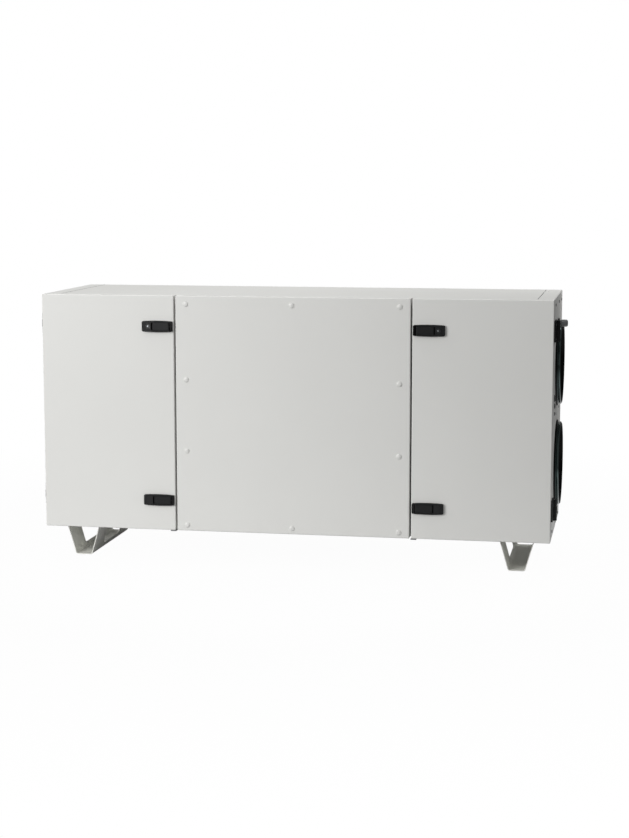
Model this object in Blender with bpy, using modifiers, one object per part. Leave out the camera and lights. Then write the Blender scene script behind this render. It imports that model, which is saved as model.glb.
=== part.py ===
"""Floor-standing air handling unit: a horizontal insulated casing on two folded runners.

The casing has a screwed centre panel between two hinged service doors, and two
round duct spigots, one above the other, on each end wall.
Metres, +Z up. The front faces -Y. The origin is on the floor, under the middle
of the overall box.
"""
import math

import bmesh
import bpy
from mathutils import Vector

# Distances for merging and picking in the meshes
MERGE_DISTANCE = 0.00001
PICK_TOLERANCE = 0.001
FLAT_ANGLE = math.radians(0.05)

# Casing
CASING_WIDTH = 1.913
CASING_DEPTH = 0.606
CASING_HEIGHT = 0.885
END_WALL_THICKNESS = 0.062
SKIN_RADIUS = 0.003
PANEL_THICKNESS = 0.050
BACK_THICKNESS = 0.046
BULKHEAD_THICKNESS = 0.050
DIVIDER_THICKNESS = 0.030
JOINT_GAP = 0.0003
CUT_MARGIN = 0.020

# Doors and centre panel
DOOR_WIDTH = 0.510
DOOR_THICKNESS = 0.041
DOOR_SEAM = 0.0065
DOOR_STANDOFF = 0.005
PLUG_DEPTH = 0.012
PLUG_CLEARANCE = 0.006
PLUG_CHAMFER = 0.004
DIVIDER_SETBACK = 0.003
GASKET_WIDTH = 0.012
GASKET_EDGE = 0.004

# Door rests under the free end of each door
REST_WIDTH = 0.021
REST_THICKNESS = 0.0035
REST_LENGTH = 0.110
REST_INSET = 0.009
REST_GAP = 0.0005
REST_EDGE_RADIUS = 0.0009

# Duct spigots
DUCT_DIAMETER = 0.315
LIP_HEIGHT = 0.005
SLEEVE_WALL = 0.003
SLEEVE_LENGTH = 0.020
COLLAR_FLANGE_DIAMETER = 0.328
COLLAR_FLANGE_THICKNESS = 0.004
COLLAR_FLANGE_CHAMFER = 0.0013
COLLAR_BEAD = 0.0015
COLLAR_SHOULDER = 0.0022
DUCT_FROM_TOP = 0.251
DUCT_FROM_BOTTOM = 0.250
DUCT_FROM_FRONT = 0.303
SEAL_WIDTH = 0.013
SEAL_BAND = 0.0015
SEAL_FROM_MOUTH = 0.0015
LIP_COUNT = 2
LIP_START = 0.0007
LIP_LEAN = 0.0033
LIP_TIP = 0.0012
LIP_ROOT = 0.0026
RING_STEPS = 40

# Hinges
HINGE_FROM_EDGE = 0.1145
HINGE_HEIGHT = 0.077
HINGE_PIN_SETBACK = 0.060
HINGE_PIN_OFFSET = 0.0105
HINGE_FIXED_RADIUS = 0.0100
HINGE_MOVING_RADIUS = 0.0092
HINGE_KNUCKLE_HEIGHT = 0.027
HINGE_LEAF_THICKNESS = 0.0055
HINGE_LEAF_LENGTH = 0.029
HINGE_LEAF_START = 0.0115
HINGE_LEAF_ROUND = 0.0025
HINGE_RUNNING_GAP = 0.0006

# Latches
LATCH_WIDTH = 0.117
LATCH_HEIGHT = 0.043
LATCH_BOW = 0.0018
LATCH_CORNER = 0.005
LATCH_DEPTH = 0.011
LATCH_CHAMFER = 0.0018
LATCH_FROM_SEAM = 0.003
LATCH_FROM_EDGE = 0.115
LATCH_FLOOR = 0.0018
LATCH_SIDE_RIM = 0.0062
LATCH_STEP = 0.0012
SEAM_STRIP = 0.008
OUTER_STRIP = 0.0115
LEVER_FROM_SEAM_END = 0.0105
LEVER_WIDTH = 0.066
LEVER_THICKNESS = 0.0065
LEVER_BOW = 0.0014
LEVER_CORNER = 0.002
LEVER_CHAMFER = 0.0008
LEVER_CLEARANCE = 0.0008
LEVER_PROUD = 0.0005
LEVER_BARREL_RADIUS = 0.0044
FINGER_GAP = 0.0045

# Filter cassettes in the end compartments
FILTER_THICKNESS = 0.048
FILTER_FRAME = 0.018
FILTER_RECESS = 0.008
FILTER_SIDE_CLEARANCE = 0.004
FILTER_TOP_CLEARANCE = 0.006

# Cable gland on the right end wall
GLAND_LENGTH = 0.043
GLAND_FROM_FRONT = 0.150
GLAND_FROM_TOP = 0.093
GLAND_NUT_WIDTH = 0.024
GLAND_NUT_LENGTH = 0.006
GLAND_NECK_DIAMETER = 0.021
GLAND_CAP_START = 0.020
GLAND_CAP_DIAMETER = 0.0265
GLAND_CAP_CHAMFER = 0.0015
GLAND_DOME_RADIUS = 0.008
GLAND_BORE = 0.010
GLAND_STEPS = 24

# Runners
FOOT_HEIGHT = 0.122
RUNNER_FROM_END = 0.095
RUNNER_FLOOR_WIDTH = 0.061
RUNNER_LEAN = 0.034
RUNNER_FROM_FRONT = 0.072
RUNNER_LENGTH = 0.481
RUNNER_LEG_LENGTH = 0.134
RUNNER_RAIL_HEIGHT = 0.020
RUNNER_SHEET = 0.003
RUNNER_FLANGE = 0.025
RUNNER_FOLD_RADIUS = 0.006
RUNNER_NOTCH_RADIUS = 0.010

# Places that follow from the sizes above
LEFT_REACH = max(SLEEVE_LENGTH, HINGE_PIN_OFFSET + HINGE_FIXED_RADIUS)
CASING_LEFT = -(CASING_WIDTH + GLAND_LENGTH - LEFT_REACH) / 2
CASING_RIGHT = CASING_LEFT + CASING_WIDTH
CASING_FRONT = -(CASING_DEPTH - LATCH_DEPTH - LEVER_PROUD) / 2
CASING_BACK = CASING_FRONT + CASING_DEPTH
CASING_BOTTOM = FOOT_HEIGHT
CASING_TOP = CASING_BOTTOM + CASING_HEIGHT
FRAME_FRONT = CASING_FRONT + DOOR_THICKNESS + DOOR_STANDOFF
SLEEVE_RADIUS = DUCT_DIAMETER / 2 - LIP_HEIGHT
SEAM_MIDDLE = DOOR_WIDTH + DOOR_SEAM / 2
DUCT_HEIGHTS = {
    "upper": CASING_TOP - DUCT_FROM_TOP,
    "lower": CASING_BOTTOM + DUCT_FROM_BOTTOM,
}
FITTING_HEIGHTS = {
    "upper": CASING_TOP - LATCH_FROM_EDGE,
    "lower": CASING_BOTTOM + LATCH_FROM_EDGE,
}
HINGE_HEIGHTS = {
    "upper": CASING_TOP - HINGE_FROM_EDGE,
    "lower": CASING_BOTTOM + HINGE_FROM_EDGE,
}
DIVIDER_LEVEL = (DUCT_HEIGHTS["upper"] + DUCT_HEIGHTS["lower"]) / 2
DIVIDER_FRONT = CASING_FRONT + DOOR_THICKNESS + PLUG_DEPTH + DIVIDER_SETBACK
HINGE_AXIS_Y = CASING_FRONT + HINGE_PIN_SETBACK
RUNNER_MIDDLE_Y = CASING_FRONT + RUNNER_FROM_FRONT + RUNNER_LENGTH / 2
FILTER_LEVELS = {"left": "upper", "right": "lower"}
# Each side: the outer face's x and the direction that points outwards
SIDES = {
    "left": (CASING_LEFT, -1.0),
    "right": (CASING_RIGHT, 1.0),
}


def clear_scene():
    for old in list(bpy.data.objects):
        bpy.data.objects.remove(old, do_unlink=True)


def new_collection(name):
    collection = bpy.data.collections.new(name)
    bpy.context.scene.collection.children.link(collection)
    return collection


def make_material(name, color, roughness, metallic=0.0):
    material = bpy.data.materials.new(name)
    material.use_nodes = True
    shader = material.node_tree.nodes["Principled BSDF"]
    shader.inputs["Base Color"].default_value = (*color, 1.0)
    shader.inputs["Roughness"].default_value = roughness
    shader.inputs["Metallic"].default_value = metallic
    return material


def add_object(name, mesh, material=None, parent=None, collection=None):
    obj = bpy.data.objects.new(name, mesh)
    (collection or UNIT).objects.link(obj)
    if material:
        mesh.materials.append(material)
    if parent:
        obj.parent = parent
    return obj


def make_cutter(obj):
    obj.hide_render = True
    obj.display_type = "WIRE"
    return obj


def mesh_from_bmesh(name, bm):
    bmesh.ops.recalc_face_normals(bm, faces=bm.faces)
    mesh = bpy.data.meshes.new(name)
    bm.to_mesh(mesh)
    bm.free()
    return mesh


def box_bmesh(size):
    """A box centred on its own origin."""
    bm = bmesh.new()
    bmesh.ops.create_cube(bm, size=1.0)
    bmesh.ops.scale(bm, vec=Vector(size), verts=bm.verts)
    return bm


def box_between(name, low, high, material=None, parent=None, collection=None, edge_radius=0.0):
    """A box from its low corner to its high corner, with its origin in its middle."""
    low = Vector(low)
    high = Vector(high)
    bm = box_bmesh(high - low)
    obj = add_object(name, mesh_from_bmesh(name, bm), material, parent, collection)
    obj.location = (low + high) / 2
    if parent:
        obj.location -= parent.location
    if edge_radius:
        add_bevel(obj, edge_radius)
    return obj


def add_bevel(obj, width, segments=2, angle=math.radians(40)):
    bevel = obj.modifiers.new("edge_radius", "BEVEL")
    bevel.width = width
    bevel.segments = segments
    bevel.limit_method = "ANGLE"
    bevel.angle_limit = angle
    return bevel


def add_boolean(obj, other, operation):
    boolean = obj.modifiers.new(other.name, "BOOLEAN")
    boolean.operation = operation
    boolean.solver = "EXACT"
    boolean.object = other
    return boolean


def shade_round(obj):
    """Smooth shading over the round stretches, with the real edges kept sharp."""
    obj.data.shade_smooth()
    obj.data.set_sharp_from_angle(angle=math.radians(35))


def turned_ring(name, profile, steps, material=None, parent=None):
    """A ring about the local Z axis, from a closed profile of (radius, height) points.

    The points run down the outer side and back up the inner one.
    """
    mesh = bpy.data.meshes.new(name)
    bm = bmesh.new()
    verts = [bm.verts.new((radius, 0.0, height)) for radius, height in profile]
    for first, second in zip(verts, verts[1:] + verts[:1]):
        bm.edges.new((first, second))
    bm.to_mesh(mesh)
    bm.free()
    obj = add_object(name, mesh, material, parent)
    screw = obj.modifiers.new("turn", "SCREW")
    screw.axis = "Z"
    screw.angle = math.tau
    screw.steps = steps
    screw.render_steps = steps
    screw.use_merge_vertices = True
    screw.merge_threshold = MERGE_DISTANCE
    screw.use_normal_calculate = True
    screw.use_smooth_shade = True
    return obj


def outline_solid(name, points, thickness, material=None, parent=None, collection=None):
    """A flat outline in the local XY plane, given a thickness that is centred on Z = 0."""
    curve = bpy.data.curves.new(name, "CURVE")
    curve.dimensions = "2D"
    curve.fill_mode = "BOTH"
    curve.extrude = thickness / 2
    spline = curve.splines.new("POLY")
    spline.points.add(len(points) - 1)
    for point, (x, y) in zip(spline.points, points):
        point.co = (x, y, 0.0, 1.0)
    spline.use_cyclic_u = True
    drawn = bpy.data.objects.new(name + "_outline", curve)
    UNIT.objects.link(drawn)
    depsgraph = bpy.context.evaluated_depsgraph_get()
    mesh = bpy.data.meshes.new_from_object(drawn.evaluated_get(depsgraph))
    bpy.data.objects.remove(drawn)
    bpy.data.curves.remove(curve)
    bm = bmesh.new()
    bm.from_mesh(mesh)
    bpy.data.meshes.remove(mesh)
    bmesh.ops.remove_doubles(bm, verts=bm.verts, dist=MERGE_DISTANCE)
    bmesh.ops.dissolve_limit(bm, angle_limit=FLAT_ANGLE, verts=bm.verts, edges=bm.edges)
    solid = add_object(name, mesh_from_bmesh(name, bm), material, parent, collection)
    shade_round(solid)
    return solid


def arc(center, radius, start, end, steps):
    """Points along an arc, angles in degrees."""
    points = []
    for step in range(steps + 1):
        angle = math.radians(start + (end - start) * step / steps)
        points.append((center[0] + radius * math.cos(angle), center[1] + radius * math.sin(angle)))
    return points


def bowed_rectangle(width, height, bow, corner, steps=4):
    """An outline with small corner radii, whose long edges bow outwards by bow at the middle."""
    half_width = width / 2
    half_height = height / 2 - bow
    points = []
    corners = ((1, 1, 0), (-1, 1, 90), (-1, -1, 180), (1, -1, 270))
    for sign_x, sign_y, start in corners:
        center = (sign_x * (half_width - corner), sign_y * (half_height - corner))
        points += arc(center, corner, start, start + 90, 3)
        if sign_x == sign_y:
            span = half_width - corner
            for step in range(1, 2 * steps):
                x = sign_x * span * (1 - step / steps)
                points.append((x, sign_y * (half_height + bow * (1 - (x / span) ** 2))))
    return points


def face_front(obj, x, y, z):
    """Stands an outline up: its local XY plane becomes the XZ plane, its +Z points to the front."""
    obj.rotation_euler = (math.radians(90), 0.0, 0.0)
    obj.location = (x, y, z)


def cylinder_cutter(name, radius, length, center, axis_turn, steps):
    bm = bmesh.new()
    bmesh.ops.create_cone(
        bm, cap_ends=True, segments=steps, radius1=radius, radius2=radius, depth=length
    )
    obj = add_object(name, mesh_from_bmesh(name, bm), None, None, CUTTERS)
    obj.location = center
    obj.rotation_euler = axis_turn
    shade_round(obj)
    return make_cutter(obj)


def build_end_wall(side):
    """Insulated end wall with a round hole for each duct sleeve."""
    face, outward = SIDES[side]
    inner = face - outward * END_WALL_THICKNESS
    low = (min(face, inner), FRAME_FRONT, CASING_BOTTOM)
    high = (max(face, inner), CASING_BACK, CASING_TOP)
    wall = box_between("end_wall_" + side, low, high, PAINT, edge_radius=SKIN_RADIUS)
    for level, height in DUCT_HEIGHTS.items():
        cutter = cylinder_cutter(
            "duct_hole_" + side + "_" + level,
            SLEEVE_RADIUS + JOINT_GAP,
            END_WALL_THICKNESS + 2 * CUT_MARGIN,
            (face - outward * END_WALL_THICKNESS / 2, CASING_FRONT + DUCT_FROM_FRONT, height),
            (0.0, math.radians(90), 0.0),
            RING_STEPS,
        )
        add_boolean(wall, cutter, "DIFFERENCE")


def build_long_panels():
    """Base and roof panels, which run between the end walls."""
    left = CASING_LEFT + END_WALL_THICKNESS + JOINT_GAP
    right = CASING_RIGHT - END_WALL_THICKNESS - JOINT_GAP
    box_between(
        "base_panel",
        (left, FRAME_FRONT, CASING_BOTTOM),
        (right, CASING_BACK, CASING_BOTTOM + PANEL_THICKNESS),
        PAINT,
        edge_radius=SKIN_RADIUS / 2,
    )
    box_between(
        "top_panel",
        (left, FRAME_FRONT, CASING_TOP - PANEL_THICKNESS),
        (right, CASING_BACK, CASING_TOP),
        PAINT,
        edge_radius=SKIN_RADIUS / 2,
    )


def build_back_panels():
    """Three screwed back panels, whose seams stand behind the front ones."""
    bottom = CASING_BOTTOM + PANEL_THICKNESS + JOINT_GAP
    top = CASING_TOP - PANEL_THICKNESS - JOINT_GAP
    seams = (
        CASING_LEFT + END_WALL_THICKNESS,
        CASING_LEFT + SEAM_MIDDLE,
        CASING_RIGHT - SEAM_MIDDLE,
        CASING_RIGHT - END_WALL_THICKNESS,
    )
    for name, left, right in zip(("left", "center", "right"), seams, seams[1:]):
        box_between(
            "back_panel_" + name,
            (left + JOINT_GAP, CASING_BACK - BACK_THICKNESS, bottom),
            (right - JOINT_GAP, CASING_BACK, top),
            PAINT,
            edge_radius=SKIN_RADIUS / 2,
        )


def build_bulkhead(side):
    """Wall between an end compartment and the closed centre section."""
    face, outward = SIDES[side]
    middle = face - outward * SEAM_MIDDLE
    box_between(
        "bulkhead_" + side,
        (middle - BULKHEAD_THICKNESS / 2, FRAME_FRONT, CASING_BOTTOM + PANEL_THICKNESS + JOINT_GAP),
        (
            middle + BULKHEAD_THICKNESS / 2,
            CASING_BACK - BACK_THICKNESS - JOINT_GAP,
            CASING_TOP - PANEL_THICKNESS - JOINT_GAP,
        ),
        LINER,
    )


def build_divider(side):
    """Shelf that keeps the upper and the lower air stream apart."""
    face, outward = SIDES[side]
    outer = face - outward * (END_WALL_THICKNESS + JOINT_GAP)
    inner = face - outward * (SEAM_MIDDLE - BULKHEAD_THICKNESS / 2 - JOINT_GAP)
    box_between(
        "divider_" + side,
        (min(outer, inner), DIVIDER_FRONT, DIVIDER_LEVEL - DIVIDER_THICKNESS / 2),
        (
            max(outer, inner),
            CASING_BACK - BACK_THICKNESS - JOINT_GAP,
            DIVIDER_LEVEL + DIVIDER_THICKNESS / 2,
        ),
        LINER,
    )


def build_center_panel():
    """Screwed front panel between the doors, flush with them."""
    box_between(
        "center_panel",
        (CASING_LEFT + DOOR_WIDTH + DOOR_SEAM, CASING_FRONT, CASING_BOTTOM),
        (CASING_RIGHT - DOOR_WIDTH - DOOR_SEAM, FRAME_FRONT - JOINT_GAP, CASING_TOP),
        PAINT,
        edge_radius=SKIN_RADIUS,
    )


def build_collar(side, level):
    """Duct sleeve with a flange on the wall, a shoulder under its seal and a rounded mouth."""
    face, outward = SIDES[side]
    inner_radius = SLEEVE_RADIUS - SLEEVE_WALL
    flange_radius = COLLAR_FLANGE_DIAMETER / 2
    flange_low = JOINT_GAP
    flange_high = flange_low + COLLAR_FLANGE_THICKNESS
    shoulder_radius = SLEEVE_RADIUS + COLLAR_SHOULDER
    shoulder_high = SLEEVE_LENGTH - SEAL_FROM_MOUTH - SEAL_WIDTH - JOINT_GAP
    profile = [
        (SLEEVE_RADIUS - COLLAR_BEAD, SLEEVE_LENGTH),
        (SLEEVE_RADIUS, SLEEVE_LENGTH - COLLAR_BEAD),
        (SLEEVE_RADIUS, shoulder_high),
        (shoulder_radius, shoulder_high),
        (shoulder_radius, flange_high),
        (flange_radius - COLLAR_FLANGE_CHAMFER, flange_high),
        (flange_radius, flange_high - COLLAR_FLANGE_CHAMFER),
        (flange_radius, flange_low),
        (SLEEVE_RADIUS, flange_low),
        (SLEEVE_RADIUS, -END_WALL_THICKNESS),
        (inner_radius, -END_WALL_THICKNESS),
        (inner_radius, SLEEVE_LENGTH),
    ]
    name = "duct_collar_" + side + "_" + level
    collar = turned_ring(name, profile, RING_STEPS, COLLAR_PLASTIC)
    collar.location = (face, CASING_FRONT + DUCT_FROM_FRONT, DUCT_HEIGHTS[level])
    collar.rotation_euler = (0.0, math.radians(90) * outward, 0.0)
    return collar


def build_lip_seal(side, level, collar):
    """Rubber ring on the sleeve, with two lips that lean back from the mouth."""
    band_radius = SLEEVE_RADIUS + JOINT_GAP
    skin_radius = band_radius + SEAL_BAND
    lip_radius = DUCT_DIAMETER / 2
    top = SLEEVE_LENGTH - SEAL_FROM_MOUTH
    bottom = top - SEAL_WIDTH
    profile = [(skin_radius, top)]
    for lip in range(LIP_COUNT):
        root = top - LIP_START - lip * SEAL_WIDTH / LIP_COUNT
        profile += [
            (skin_radius, root),
            (lip_radius, root - LIP_LEAN),
            (lip_radius, root - LIP_LEAN - LIP_TIP),
            (skin_radius, root - LIP_ROOT),
        ]
    profile += [(skin_radius, bottom), (band_radius, bottom), (band_radius, top)]
    name = "duct_seal_" + side + "_" + level
    seal = turned_ring(name, profile, RING_STEPS, RUBBER)
    seal.location = collar.location
    seal.rotation_euler = collar.rotation_euler


def build_door(side, axis_empty):
    """Insulated door leaf: a folded tray, with the inner skin as a plug behind its seal land."""
    face, outward = SIDES[side]
    free = face - outward * DOOR_WIDTH
    low = Vector((min(face, free), CASING_FRONT, CASING_BOTTOM))
    high = Vector((max(face, free), CASING_FRONT + DOOR_THICKNESS, CASING_TOP))
    center = (low + high) / 2
    bm = box_bmesh(high - low)
    bm.faces.ensure_lookup_table()
    back = max(bm.faces, key=lambda item: item.calc_center_median().y)
    bmesh.ops.inset_region(bm, faces=[back], thickness=PANEL_THICKNESS / 2)
    hinge_edge = face - outward * (END_WALL_THICKNESS + PLUG_CLEARANCE)
    free_edge = face - outward * (SEAM_MIDDLE - BULKHEAD_THICKNESS / 2 - PLUG_CLEARANCE)
    plug_low = CASING_BOTTOM + PANEL_THICKNESS + PLUG_CLEARANCE
    plug_high = CASING_TOP - PANEL_THICKNESS - PLUG_CLEARANCE
    plug_x = (min(hinge_edge, free_edge), max(hinge_edge, free_edge))
    for vert in back.verts:
        vert.co.x = (plug_x[1] if vert.co.x > 0 else plug_x[0]) - center.x
        vert.co.z = (plug_high if vert.co.z > 0 else plug_low) - center.z
    raised = bmesh.ops.extrude_face_region(bm, geom=[back])
    plug_verts = [item for item in raised["geom"] if isinstance(item, bmesh.types.BMVert)]
    bmesh.ops.delete(bm, geom=[back], context="FACES_ONLY")
    bmesh.ops.translate(bm, verts=plug_verts, vec=(0.0, PLUG_DEPTH, 0.0))
    front = -DOOR_THICKNESS / 2
    skin_edges = [
        edge for edge in bm.edges
        if min(vert.co.y for vert in edge.verts) < front + PICK_TOLERANCE
    ]
    bmesh.ops.bevel(
        bm, geom=skin_edges, offset=SKIN_RADIUS, segments=3, profile=0.5, affect="EDGES"
    )
    plug_back = DOOR_THICKNESS / 2 + PLUG_DEPTH
    plug_edges = [
        edge for edge in bm.edges
        if min(vert.co.y for vert in edge.verts) > plug_back - PICK_TOLERANCE
    ]
    bmesh.ops.bevel(
        bm, geom=plug_edges, offset=PLUG_CHAMFER, segments=1, profile=0.5, affect="EDGES"
    )
    name = "door_" + side
    door = add_object(name, mesh_from_bmesh(name, bm), PAINT, axis_empty)
    door.location = center - axis_empty.location
    return door


def build_gasket(side):
    """Rubber loop on the casing's front edges, which the closed door rests on."""
    face, outward = SIDES[side]
    outer_side = face - outward * (END_WALL_THICKNESS - GASKET_EDGE)
    inner_side = face - outward * (SEAM_MIDDLE - BULKHEAD_THICKNESS / 2 + GASKET_EDGE)
    hole_low = (min(outer_side, inner_side), CASING_BOTTOM + PANEL_THICKNESS - GASKET_EDGE)
    hole_high = (max(outer_side, inner_side), CASING_TOP - PANEL_THICKNESS + GASKET_EDGE)
    near = CASING_FRONT + DOOR_THICKNESS + JOINT_GAP
    far = FRAME_FRONT - JOINT_GAP
    gasket = box_between(
        "door_gasket_" + side,
        (hole_low[0] - GASKET_WIDTH, near, hole_low[1] - GASKET_WIDTH),
        (hole_high[0] + GASKET_WIDTH, far, hole_high[1] + GASKET_WIDTH),
        RUBBER,
    )
    hole = box_between(
        "gasket_hole_" + side,
        (hole_low[0], near - CUT_MARGIN, hole_low[1]),
        (hole_high[0], far + CUT_MARGIN, hole_high[1]),
        collection=CUTTERS,
    )
    add_boolean(gasket, make_cutter(hole), "DIFFERENCE")


def hinge_plan(outward, direction, knuckle_radius):
    """Plan of one hinge half about its pin: a leaf on the wall that runs into its knuckle."""
    wall = -HINGE_PIN_OFFSET + JOINT_GAP
    skin = wall + HINGE_LEAF_THICKNESS
    tip = HINGE_LEAF_START + HINGE_LEAF_LENGTH
    points = [(wall, tip)]
    points += arc((skin - HINGE_LEAF_ROUND, tip - HINGE_LEAF_ROUND), HINGE_LEAF_ROUND, 90, 0, 3)
    points += arc((0.0, 0.0), knuckle_radius, 110, -180, 20)
    points += [(wall, 0.0)]
    return [(outward * x, direction * y) for x, y in points]


def build_hinge_half(side, level, moving, axis_empty=None):
    """Moulded hinge half: the fixed one has the middle knuckle, the moving one the outer two."""
    face, outward = SIDES[side]
    direction = -1.0 if moving else 1.0
    name = "hinge_" + ("moving" if moving else "fixed") + "_" + side + "_" + level
    pin = Vector((face + outward * HINGE_PIN_OFFSET, HINGE_AXIS_Y, HINGE_HEIGHTS[level]))
    plan = hinge_plan(outward, direction, HINGE_MOVING_RADIUS if moving else HINGE_FIXED_RADIUS)
    half = outline_solid(name, plan, HINGE_HEIGHT, MOULDED, axis_empty)
    half.location = pin - (axis_empty.location if axis_empty else Vector())
    middle_top = HINGE_KNUCKLE_HEIGHT / 2 + (HINGE_RUNNING_GAP if moving else 0.0)
    if moving:
        spans = ((-middle_top, middle_top),)
    else:
        spans = ((-HINGE_HEIGHT, -middle_top), (middle_top, HINGE_HEIGHT))
    edges_y = (-direction * CUT_MARGIN, direction * HINGE_LEAF_START)
    for index, (bottom, top) in enumerate(spans):
        gap = box_between(
            name + "_gap_" + str(index),
            pin + Vector((-CUT_MARGIN, min(edges_y), bottom)),
            pin + Vector((CUT_MARGIN, max(edges_y), top)),
            collection=CUTTERS,
        )
        add_boolean(half, make_cutter(gap), "DIFFERENCE")


def build_latch(side, level, axis_empty):
    """Moulded latch housing on the door: a recess for the lever, with room for a finger behind
    the lever's free end, a fixed lock section, and a lower strip at each end."""
    face, outward = SIDES[side]
    label = side + "_" + level
    seam_end = face - outward * (DOOR_WIDTH - LATCH_FROM_SEAM)
    height = FITTING_HEIGHTS[level]
    back_y = CASING_FRONT - JOINT_GAP
    front_y = CASING_FRONT - LATCH_DEPTH
    outline = bowed_rectangle(LATCH_WIDTH, LATCH_HEIGHT, LATCH_BOW, LATCH_CORNER)
    thickness = LATCH_DEPTH - JOINT_GAP
    housing = outline_solid("latch_housing_" + label, outline, thickness, MOULDED, axis_empty)
    face_front(housing, seam_end + outward * LATCH_WIDTH / 2, (back_y + front_y) / 2, height)
    housing.location -= axis_empty.location
    add_bevel(housing, LATCH_CHAMFER, segments=1)

    strips = {
        "seam": (-CUT_MARGIN, SEAM_STRIP),
        "outer": (LATCH_WIDTH - OUTER_STRIP, LATCH_WIDTH + CUT_MARGIN),
    }
    for strip, (start, end) in strips.items():
        edges_x = (seam_end + outward * start, seam_end + outward * end)
        step = box_between(
            "latch_strip_" + strip + "_" + label,
            (min(edges_x), front_y - CUT_MARGIN, height - LATCH_HEIGHT),
            (max(edges_x), front_y + LATCH_STEP, height + LATCH_HEIGHT),
            collection=CUTTERS,
        )
        add_boolean(housing, make_cutter(step), "DIFFERENCE")

    lever_height = LATCH_HEIGHT - 2 * LATCH_SIDE_RIM
    recess_start = LEVER_FROM_SEAM_END - LEVER_CLEARANCE
    recess_width = LEVER_WIDTH + LEVER_CLEARANCE + FINGER_GAP
    recess_height = lever_height + 2 * LEVER_CLEARANCE
    recess = outline_solid(
        "latch_recess_" + label,
        bowed_rectangle(recess_width, recess_height, LEVER_BOW, LEVER_CORNER),
        2 * (LATCH_DEPTH - LATCH_FLOOR),
        collection=CUTTERS,
    )
    face_front(recess, seam_end + outward * (recess_start + recess_width / 2), front_y, height)
    add_boolean(housing, make_cutter(recess), "DIFFERENCE")

    pivot = bpy.data.objects.new("lever_axis_" + label, None)
    UNIT.objects.link(pivot)
    pivot.parent = axis_empty
    pivot_place = Vector((
        seam_end + outward * (LEVER_FROM_SEAM_END + LEVER_BARREL_RADIUS),
        front_y - LEVER_PROUD + LEVER_BARREL_RADIUS,
        height,
    ))
    pivot.location = pivot_place - axis_empty.location
    build_lever(label, outward, pivot, pivot_place, lever_height)


def build_lever(label, outward, pivot, pivot_place, height):
    """Pull lever: a bowed plate whose round barrel turns in the housing beside the seam."""
    plate_width = LEVER_WIDTH - LEVER_BARREL_RADIUS
    outline = bowed_rectangle(plate_width, height, LEVER_BOW, LEVER_CORNER)
    lever = outline_solid("latch_lever_" + label, outline, LEVER_THICKNESS, MOULDED, pivot)
    middle_y = (LEVER_THICKNESS / 2) - LEVER_BARREL_RADIUS
    face_front(lever, outward * plate_width / 2, middle_y, 0.0)
    add_bevel(lever, LEVER_CHAMFER, segments=1)
    bm = bmesh.new()
    bmesh.ops.create_cone(
        bm,
        cap_ends=True,
        segments=20,
        radius1=LEVER_BARREL_RADIUS,
        radius2=LEVER_BARREL_RADIUS,
        depth=height - 2 * LATCH_BOW,
    )
    barrel_name = "lever_barrel_" + label
    barrel = add_object(barrel_name, mesh_from_bmesh(barrel_name, bm), None, None, CUTTERS)
    barrel.location = pivot_place
    shade_round(barrel)
    add_boolean(lever, make_cutter(barrel), "UNION")


def build_door_rest(side):
    """Flat steel tongue under the casing, which carries the free end of the closed door."""
    face, outward = SIDES[side]
    middle = face - outward * (DOOR_WIDTH - REST_INSET)
    top = CASING_BOTTOM - REST_GAP
    box_between(
        "door_rest_" + side,
        (middle - REST_WIDTH / 2, CASING_FRONT, top - REST_THICKNESS),
        (middle + REST_WIDTH / 2, CASING_FRONT + REST_LENGTH, top),
        DARK_STEEL,
        edge_radius=REST_EDGE_RADIUS,
    )


def build_filter(side, level):
    """Filter cassette that slides in from the door and stands against the bulkhead."""
    face, outward = SIDES[side]
    near = face - outward * (SEAM_MIDDLE - BULKHEAD_THICKNESS / 2 - JOINT_GAP)
    far = near + outward * FILTER_THICKNESS
    if level == "upper":
        bottom = DIVIDER_LEVEL + DIVIDER_THICKNESS / 2 + JOINT_GAP
        top = CASING_TOP - PANEL_THICKNESS - FILTER_TOP_CLEARANCE
    else:
        bottom = CASING_BOTTOM + PANEL_THICKNESS + JOINT_GAP
        top = DIVIDER_LEVEL - DIVIDER_THICKNESS / 2 - FILTER_TOP_CLEARANCE
    low = Vector((min(near, far), DIVIDER_FRONT, bottom))
    high = Vector((max(near, far), CASING_BACK - BACK_THICKNESS - FILTER_SIDE_CLEARANCE, top))
    cassette = box_between("filter_cassette_" + side, low, high, CARD)
    window = box_between(
        "filter_window_" + side,
        (far - FILTER_RECESS, low.y + FILTER_FRAME, low.z + FILTER_FRAME),
        (far + FILTER_RECESS, high.y - FILTER_FRAME, high.z - FILTER_FRAME),
        collection=CUTTERS,
    )
    add_boolean(cassette, make_cutter(window), "DIFFERENCE")


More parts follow.
